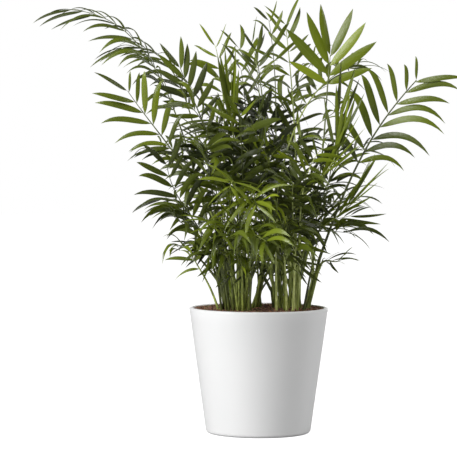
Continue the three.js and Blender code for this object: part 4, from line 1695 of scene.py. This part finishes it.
@dataclass
class Stalks:
    """The fronds' stalks and ribs, each with the sheath that clasps its cane."""

    radii: tuple[float, float, float] = (1.5, 0.95, 0.4)  # at the foot, the neck and the tip
    stout_radius: float = 1.9
    stout_taper: float = 0.6
    sheath_radius: float = 2.2
    sheath_length: float = 60.0
    sheath_curve: float = 1.5  # power by which the sheath thins out upwards
    sheath_foot: float = 0.95  # girth at its lower end, as a share of the sheath's
    clasp: tuple[float, float] = (0.55, 0.8)  # its stand off the cane's axis, low and high, in cane radii
    clasp_from: float = 0.02  # where on the cane it begins, as a share of the height
    clasp_steps: int = 7
    shoot_radii: tuple[float, float, float] = (1.1, 0.715, 0.33)
    shoot_swell: float = 0.8
    shoot_sheath: float = 95.0
    shoot_curve: float = 0.8
    step: int = 2  # samples between two rings
    sides: int = 8
    pale_from: float = 10  # stalks right of this place are pale
    deep_to: float = -38  # stalks left of this one are deep
    deep_above: float = 420  # stalks at the right that rise above this height are deep
    odd: float = -0.2  # chances below which a stalk has another finish than its neighbours
    odd_pale: float = -0.3

    def tube(self, rib: Rib, cane: Cane | None, bed: CaneBed) -> Tube:
        """Draws a stalk from low on its cane, or from the soil, to the rib's tip.

        Args:
            rib: The frond's rib.
            cane: The cane that bears it, or none for a young shoot.
            bed: The bed, which knows the canes' radius.

        Returns:
            The tube.
        """
        shares = np.linspace(0, 1, len(rib.points))[:: self.step]
        points = rib.points[:: self.step]
        gone = shares * rib.length
        foot, neck, tip = self.radii if cane else self.shoot_radii
        above = (shares - rib.neck) / (1 - rib.neck)
        radii = np.where(shares < rib.neck, mix(foot, neck, shares / rib.neck), mix(neck, tip, above))
        if cane is None:
            sheath = np.clip(1 - gone / self.shoot_sheath, 0, 1) ** self.shoot_curve
            return Tube(points, radii + self.shoot_swell * sheath)
        sheath = np.clip(1 - gone / self.sheath_length, 0, 1) ** self.sheath_curve
        radii = radii + (self.sheath_radius - foot) * sheath
        if rib.plan.habit is Habit.WIDE:
            radii = np.maximum(radii, self.stout_radius * (1 - self.stout_taper * shares))
        low = self.clasp_line(rib, cane, bed)
        swell = np.linspace(self.sheath_radius * self.sheath_foot, radii[0], len(low))
        return Tube(np.concatenate([low, points]), np.concatenate([swell, radii]))

    def clasp_line(self, rib: Rib, cane: Cane, bed: CaneBed) -> list[np.ndarray]:
        """Draws the line of a sheath that clasps its cane.

        Args:
            rib: The frond's rib.
            cane: The cane.
            bed: The bed, which knows the canes' radius.

        Returns:
            The points from low on the cane up to the rib's foot.
        """
        level = np.dot(rib.points[0] - cane.foot, cane.axis) / cane.height
        side = rib.points[0] - cane.at(level)
        reach = np.linalg.norm(side)
        line = []
        for k in range(self.clasp_steps):
            share = k / self.clasp_steps
            spot = cane.at(mix(self.clasp_from, level, share))
            if reach > 1:
                spot = spot + side / reach * bed.radius(cane, level * share) * mix(*self.clasp, share)
            line.append(spot)
        return line

    def build(self, ribs: Sequence[Rib], canes: Sequence[Cane], bed: CaneBed) -> None:
        """Makes the pieces of stalks, sorted by tone.

        Args:
            ribs: All ribs.
            canes: All canes.
            bed: The bed.
        """
        dealt: dict[StalkTone, list[int]] = {tone: [] for tone in StalkTone}
        for index, rib in enumerate(ribs):
            dealt[self.tone(rib, index)].append(index)
        solids = sum(rib.plan.start is None for rib in ribs)
        for tone, members in dealt.items():
            bearers = [canes[ribs[i].plan.cane] if i < solids else None for i in members]
            tubes = [self.tube(ribs[i], cane, bed) for i, cane in zip(members, bearers)]
            piece = build_tubes(f"stalks_{tone.name.lower()}", tubes, self.sides, tone.value)
            place(piece, "frond", [numbered("frond", i) for i in members if i < solids])

    def tone(self, rib: Rib, index: int) -> StalkTone:
        """Says which finish a stalk gets: mostly pale at the right and deep at the left.

        Args:
            rib: The frond's rib.
            index: Its number.

        Returns:
            The finish.
        """
        roll = chance(STALK_ROW + index, 1)
        across = rib.points[0][0]
        if rib.plan.habit in (Habit.WIDE, Habit.BROAD):
            return StalkTone.DEEP
        if rib.plan.tone is Tone.LIME:
            return StalkTone.MID
        if across <= self.pale_from:
            return StalkTone.DEEP if across < self.deep_to or roll < self.odd else StalkTone.MID
        if rib.plan.rise > self.deep_above:
            return StalkTone.DEEP if roll > self.odd else StalkTone.MID
        return StalkTone.PALE if roll > self.odd_pale else StalkTone.MID


@dataclass
class CaneSkins:
    """The canes with their rings, where old sheaths have come away."""

    stations: int = 57
    ring_step: float = 11.0
    ring_height: float = 0.5
    ring_place: float = 0.04  # where in its step a ring stands, and how wide it is
    ring_width: float = 0.05
    ring_shift: float = 0.5
    waist: float = 0.07
    slim: float = 0.66
    flare: float = 0.12
    flare_height: float = 4
    top_taper: float = 0.8
    bow: float = 0.5
    bow_turn: float = 137  # degrees from one cane's bow to the next
    sides: int = 16

    def tube(self, cane: Cane, index: int, bed: CaneBed) -> Tube:
        """Draws one ringed cane.

        Args:
            cane: The cane.
            index: Its number.
            bed: The bed, which knows its radius.

        Returns:
            The tube.
        """
        shares = np.linspace(0, 1, self.stations)
        points = np.array([cane.at(share) for share in shares])
        radii = self.slim * np.array([bed.radius(cane, share) for share in shares])
        turns = shares * cane.height / self.ring_step + self.ring_shift * chance(index, 9)
        phase = turns - np.floor(turns)
        ring = self.ring_height * np.exp(-(((phase - self.ring_place) / self.ring_width) ** 2))
        radii = radii * (1 - self.waist * np.sin(np.pi * phase)) + ring
        radii = radii * (1 + self.flare * np.exp(-shares * cane.height / self.flare_height))
        radii[-1] *= self.top_taper
        bow = np.sin(np.pi * shares)[:, None] * self.bow * heading(self.bow_turn * index)
        return Tube(points + bow, radii)

    def build(self, canes: Sequence[Cane], bed: CaneBed) -> None:
        """Makes one piece of canes.

        Args:
            canes: All canes.
            bed: The bed.
        """
        tubes = [self.tube(cane, i, bed) for i, cane in enumerate(canes)]
        piece = build_tubes("canes", tubes, self.sides, Stock.CANE)
        place(piece, "cane", [numbered("cane", i) for i in range(len(canes))])


# ---------- pot and soil


def revolve(profile: Sequence[tuple[float, float]], segments: int) -> tuple[list, list]:
    """Turns a profile about the pot's axis.

    Args:
        profile: Radius and height of each point in metres, from axis to axis, outside up first.
        segments: How many faces go round.

    Returns:
        The points and the faces, closed, with one point at each pole.
    """
    points: list[tuple[float, float, float]] = []
    rings: list[list[int]] = []
    for radius, height in profile:
        if radius < 1e-7:
            rings.append([len(points)])
            points.append((0.0, 0.0, height))
            continue
        rings.append(list(range(len(points), len(points) + segments)))
        points.extend((radius * cos, radius * sin, height) for cos, sin in around(segments))
    faces = []
    for low, high in zip(rings, rings[1:]):
        for k in range(segments):
            n = (k + 1) % segments
            if len(low) == 1:
                faces.append((low[0], high[n], high[k]))
            elif len(high) == 1:
                faces.append((low[k], low[n], high[0]))
            else:
                faces.append((low[k], low[n], high[n], high[k]))
    return points, faces


@dataclass
class Pot:
    """The thrown and glazed pot, in millimetres."""

    height: float = 172.6
    rim_radius: float = 95.5
    base_radius: float = 72.5
    wall: float = 5.5
    floor: float = 7
    lip_round: float = 2.2
    foot_round: float = 5
    recess: float = 1.5
    recess_round: tuple[float, float] = (2, 0.2)  # how far in its edge begins, and how high it ends
    foot_ring: float = 6
    foot_edge: float = 0.8
    floor_round: float = 3
    wall_steps: int = 12
    bore_rings: int = 9
    bare_edge: float = 1.5  # how far the bare ring runs on past the rounding of the foot
    bare_top: float = 2  # height up to which that ring is bare
    segments: int = 144

    def bore(self, height: float) -> float:
        """Returns the inner radius at a height."""
        return mix(self.base_radius, self.rim_radius, height / self.height) - self.wall

    def profile(self) -> list[tuple[float, float]]:
        """Draws the section from the middle of the underside round to the middle of the floor.

        Returns:
            The radius and the height of each point.
        """

        def arc(
            x: float, y: float, radius: float, start: float, end: float, steps: int = 5
        ) -> list[tuple[float, float]]:
            """Gives the points of a rounded edge."""
            turns = np.radians(np.linspace(start, end, steps + 1))
            return [(x + radius * math.cos(a), y + radius * math.sin(a)) for a in turns]

        lip, foot, rounding = self.lip_round, self.foot_round, self.floor_round
        run, rise = self.recess_round
        inner = self.base_radius - foot - self.foot_ring
        shares = [k / self.wall_steps for k in range(1, self.wall_steps)]
        levels = np.linspace(self.height - 2 * lip, self.floor + rounding, self.bore_rings)
        return [
            (0, self.recess),
            (inner - run, self.recess),
            (inner, rise),
            (inner + self.foot_edge, 0),
            *arc(self.base_radius - foot, foot, foot, -90, 0, 6),
            *((mix(self.base_radius, self.rim_radius, t), mix(foot, self.height - lip, t)) for t in shares),
            *arc(self.rim_radius - lip, self.height - lip, lip, 0, 90),
            *arc(self.rim_radius - self.wall + lip, self.height - lip, lip, 90, 180),
            *((self.bore(level), level) for level in levels),
            (self.bore(self.floor) - rounding, self.floor),
            (0, self.floor),
        ]

    def build(self) -> None:
        """Makes the pot, whose finish ends in a bare ring under the foot."""
        points, faces = revolve([(r * MM, h * MM) for r, h in self.profile()], self.segments)
        pot = mesh_object("glazed_pot", points, faces=faces)
        pot.data.materials.append(Stock.GLAZE.material())
        pot.data.materials.append(Stock.FOOT.material())
        bare = (self.base_radius - self.foot_round + self.bare_edge) * MM
        for face in pot.data.polygons:
            face.use_smooth = True
            middle = face.center
            if middle.z < self.bare_top * MM and math.hypot(middle.x, middle.y) < bare:
                face.material_index = 1
        place(pot, "glaze", ["pot"])


@dataclass
class PottingMix:
    """The coir mix that fills the pot, with crumbs and fibres on top, in millimetres."""

    pot: Pot
    edge_height: float = 171.7
    crown_height: float = 173.0
    rings: int = 26
    segments: int = 96
    relief: float = 0.54
    sunk: float = 0.5
    edge_share: float = 12  # the lumps fade out over one part in so many of the radius
    inset: float = 3.0  # how far the loose bits stay off the edge
    floor: float = 7.3
    full_turn: float = 6.283
    turn_seed: int = 9
    size_seed: int = 5

    def radius(self) -> float:
        """Returns the radius of the mix at its edge."""
        return self.pot.bore(self.edge_height) - 2 * GAP

    def height(self, x: float, y: float) -> float:
        """Gives the height of the lumpy top at a place.

        Args:
            x: How far right it is.
            y: How far back it is.

        Returns:
            The height.
        """
        inward = 1 - min(math.hypot(x, y) / self.radius(), 1)
        # Waves of several lengths and headings cross, so that no two lumps are alike.
        dome = mix(self.edge_height, self.crown_height, math.sin(inward * math.pi / 2))
        lumps = (
            math.sin(x * 0.41 + 1.3) * math.cos(y * 0.37 - 0.4)
            + 0.6 * math.sin(x * 0.93 - y * 0.71)
            + 0.4 * math.sin(y * 1.7 + x * 0.9 + 2.0)
        )
        return dome + self.relief * lumps * min(1.0, inward * self.edge_share) - self.sunk

    def top_rings(self) -> tuple[list, list]:
        """Draws the lumpy top as rings of points about a middle one.

        Returns:
            The points in metres and the faces.
        """
        points = [(0.0, 0.0, self.height(0, 0) * MM)]
        faces = []
        for ring in range(1, self.rings + 1):
            radius = self.radius() * ring / self.rings
            for cos, sin in around(self.segments):
                x, y = radius * cos, radius * sin
                points.append((x * MM, y * MM, self.height(x, y) * MM))
        for k in range(self.segments):
            n = (k + 1) % self.segments
            faces.append((0, 1 + k, 1 + n))
            for ring in range(1, self.rings):
                low = 1 + (ring - 1) * self.segments
                high = low + self.segments
                faces.append((low + k, high + k, high + n, low + n))
        return points, faces

    def bed(self) -> None:
        """Makes the closed body of the mix."""
        points, faces = self.top_rings()
        rim = 1 + (self.rings - 1) * self.segments
        low = len(points)
        base = self.pot.bore(self.floor) - 2 * GAP
        circle = around(self.segments)
        points.extend((base * cos * MM, base * sin * MM, self.floor * MM) for cos, sin in circle)
        points.append((0.0, 0.0, self.floor * MM))
        for k in range(self.segments):
            n = (k + 1) % self.segments
            faces.append((rim + n, rim + k, low + k, low + n))
            faces.append((low + n, low + k, len(points) - 1))
        bed = mesh_object("coir_bed", points, faces=faces)
        for face in bed.data.polygons:
            face.use_smooth = True
        bed.data.materials.append(Stock.COIR.material())
        place(bed, "soil", ["soil"])

    def scatter_tree(self) -> Tree:
        """Builds the tree that strews crumbs or fibres over a surface.

        Returns:
            The geometry node tree.
        """
        graph, given = geometry_tree(
            "strewn mix",
            {
                "Density": 50000.0,
                "Seed": 1,
                "Smallest": (0.5, 0.5, 0.5),
                "Largest": (1.0, 1.0, 1.0),
                "Tilt": math.pi,
                "Finish": None,
            },
        )
        ground, density, seed, small, large, tilt, finish = list(given)[:7]
        where = {"Mesh": ground, "Density": density, "Seed": seed}
        spots = graph.wired("GeometryNodeDistributePointsOnFaces", where)
        crumb = graph.add("GeometryNodeMeshIcoSphere", 1.0, 1)
        lean = graph.product(tilt, -1.0)
        low = graph.add("ShaderNodeCombineXYZ", lean, lean, 0.0)
        high = graph.add("ShaderNodeCombineXYZ", tilt, tilt, self.full_turn)
        turn = graph.dice(low, high, self.turn_seed)
        size = graph.dice(small, large, self.size_seed)
        real = graph.strewn(spots, crumb, Rotation=turn, Scale=size)
        graph.add("NodeGroupOutput", graph.dressed(real, finish))
        return graph.tree

    def build(self) -> None:
        """Makes the mix, its crumbs and its fibres."""
        self.bed()
        tree = self.scatter_tree()
        points, faces = self.top_rings()
        inside = 1 - self.inset / self.radius()
        points = [(x * inside, y * inside, z) for x, y, z in points]
        crumb = ((0.6, 0.5, 0.4), (1.8, 1.4, 1.1), 3.14)
        fibre = ((0.12, 2.0, 0.1), (0.22, 6.0, 0.18), 0.22)
        rows = (
            ("crumbs_red", 46000.0, 3, crumb, Stock.CRUMB_RED),
            ("crumbs_dark", 40000.0, 11, crumb, Stock.CRUMB_DARK),
            ("crumbs_moss", 9000.0, 23, crumb, Stock.CRUMB_PALE),
            ("coir_fibres", 14000.0, 31, fibre, Stock.FIBRE),
        )
        for name, density, seed, (small, large, tilt), finish in rows:
            obj = mesh_object(name, points, faces=faces)
            settle(
                obj,
                tree,
                {
                    "Density": density,
                    "Seed": seed,
                    "Smallest": tuple(v * MM for v in small),
                    "Largest": tuple(v * MM for v in large),
                    "Tilt": tilt,
                    "Finish": finish.material(),
                },
            )
            place(obj, "soil", ["soil"])


# ---------- studio


@dataclass(frozen=True)
class Lamp:
    """A square soft light that looks at a point."""

    name: str
    place: tuple[float, float, float]
    aim: tuple[float, float, float]
    size: float
    power: float
    colour: Colour = (1.0, 1.0, 1.0)

    def build(self) -> None:
        """Puts the light into the scene."""
        light = bpy.data.lights.new(self.name, "AREA")
        light.shape = "SQUARE"
        light.size = self.size
        light.energy = self.power
        light.color = self.colour
        obj = bpy.data.objects.new(self.name, light)
        bpy.context.scene.collection.objects.link(obj)
        obj.location = self.place
        obj.visible_camera = False
        away = Vector(self.aim) - Vector(self.place)
        obj.rotation_euler = away.to_track_quat("-Z", "Y").to_euler()


@dataclass
class Studio:
    """A pale floor, a white room, soft lamps and the camera."""

    floor_radius: float = 9.0
    floor_sides: int = 96
    floor_colour: float = 0.4
    floor_glow: float = 1.0
    room_seen: float = 1.0
    room_light: float = 0.12
    distance: float = 3.2
    height: float = 0.405
    aside: float = -0.0419
    look_height: float = 0.2858
    lens: float = 183.4
    sensor: float = 36.0
    far: float = 60.0
    roll: float = 0.2
    lamps: tuple[Lamp, ...] = (
        Lamp("key_left", (-1.86, -1.55, 1.27), (0.0, 0.0, 0.3), 1.1, 67.0),
        Lamp("top_front", (-0.7, -1.0, 2.0), (0.0, 0.0, 0.25), 1.2, 20.0),
        Lamp("fill_right", (2.2, 0.15, 1.1), (0.0, 0.0, 0.3), 1.2, 30.0),
        Lamp("white_wall", (0.3, 2.2, 0.35), (0.0, 0.0, 0.3), 1.6, 16.0),
    )

    def floor(self) -> None:
        """Lays the floor."""
        reach = self.floor_radius
        ring = [(reach * cos, reach * sin, 0) for cos, sin in around(self.floor_sides)]
        floor = mesh_object("floor", ring, faces=[tuple(range(self.floor_sides))])
        material, graph = blank_material("paper_floor")
        seen = graph.add("ShaderNodeLightPath").outputs["Is Camera Ray"]
        paper = {
            "Base Color": rgba((self.floor_colour,) * 3),
            "Roughness": 0.9,
            "Specular IOR Level": 0.1,
            "Emission Color": WHITE,
            "Emission Strength": graph.product(seen, self.floor_glow),
        }
        graph.add("ShaderNodeOutputMaterial", graph.wired("ShaderNodeBsdfPrincipled", paper))
        floor.data.materials.append(material)

    def room(self) -> None:
        """Makes the white room, seen bright and giving a softer light."""
        world = bpy.data.worlds.new("white_room")
        bpy.context.scene.world = world
        world.use_nodes = True
        world.node_tree.nodes.clear()
        graph = Graph(world.node_tree)
        seen = graph.add("ShaderNodeLightPath").outputs["Is Camera Ray"]
        strength = graph.span(seen, 0.0, 1.0, self.room_light, self.room_seen)
        sky = graph.add("ShaderNodeBackground", WHITE, strength)
        graph.add("ShaderNodeOutputWorld", sky)

    def camera(self) -> None:
        """Stands the camera up and makes it the scene's."""
        data = bpy.data.cameras.new("camera")
        data.lens = self.lens
        data.sensor_width = self.sensor
        data.clip_end = self.far
        camera = bpy.data.objects.new("camera", data)
        bpy.context.scene.collection.objects.link(camera)
        stand = Vector((self.aside, -self.distance, self.height))
        look = Vector((self.aside, 0.0, self.look_height)) - stand
        turn = look.to_track_quat("-Z", "Y").to_matrix().to_4x4()
        roll = Matrix.Rotation(math.radians(self.roll), 4, "Z")
        camera.matrix_world = Matrix.Translation(stand) @ turn @ roll
        bpy.context.scene.camera = camera

    def build(self) -> None:
        """Sets everything up."""
        bpy.context.scene.view_settings.view_transform = "Standard"
        self.camera()
        self.floor()
        self.room()
        for lamp in self.lamps:
            lamp.build()


# ---------- the whole


def main() -> None:
    """Builds every piece, dresses it and reports it."""
    logging.basicConfig(level=logging.INFO, format="%(name)s: %(message)s")
    Studio().build()
    pot = Pot()
    bed = CaneBed()
    canes = bed.grow()
    crown = Crown(bed, canes)
    ribs = crown.grow([*OUTLINE, *Fill().plans(len(canes)), *Young().plans(bed.clumps), *SHOOTS])
    pot.build()
    PottingMix(pot).build()
    CaneSkins().build(canes, bed)
    Stalks().build(ribs, canes, bed)
    Leaflets().build(ribs)


if __name__ == "__main__":
    main()
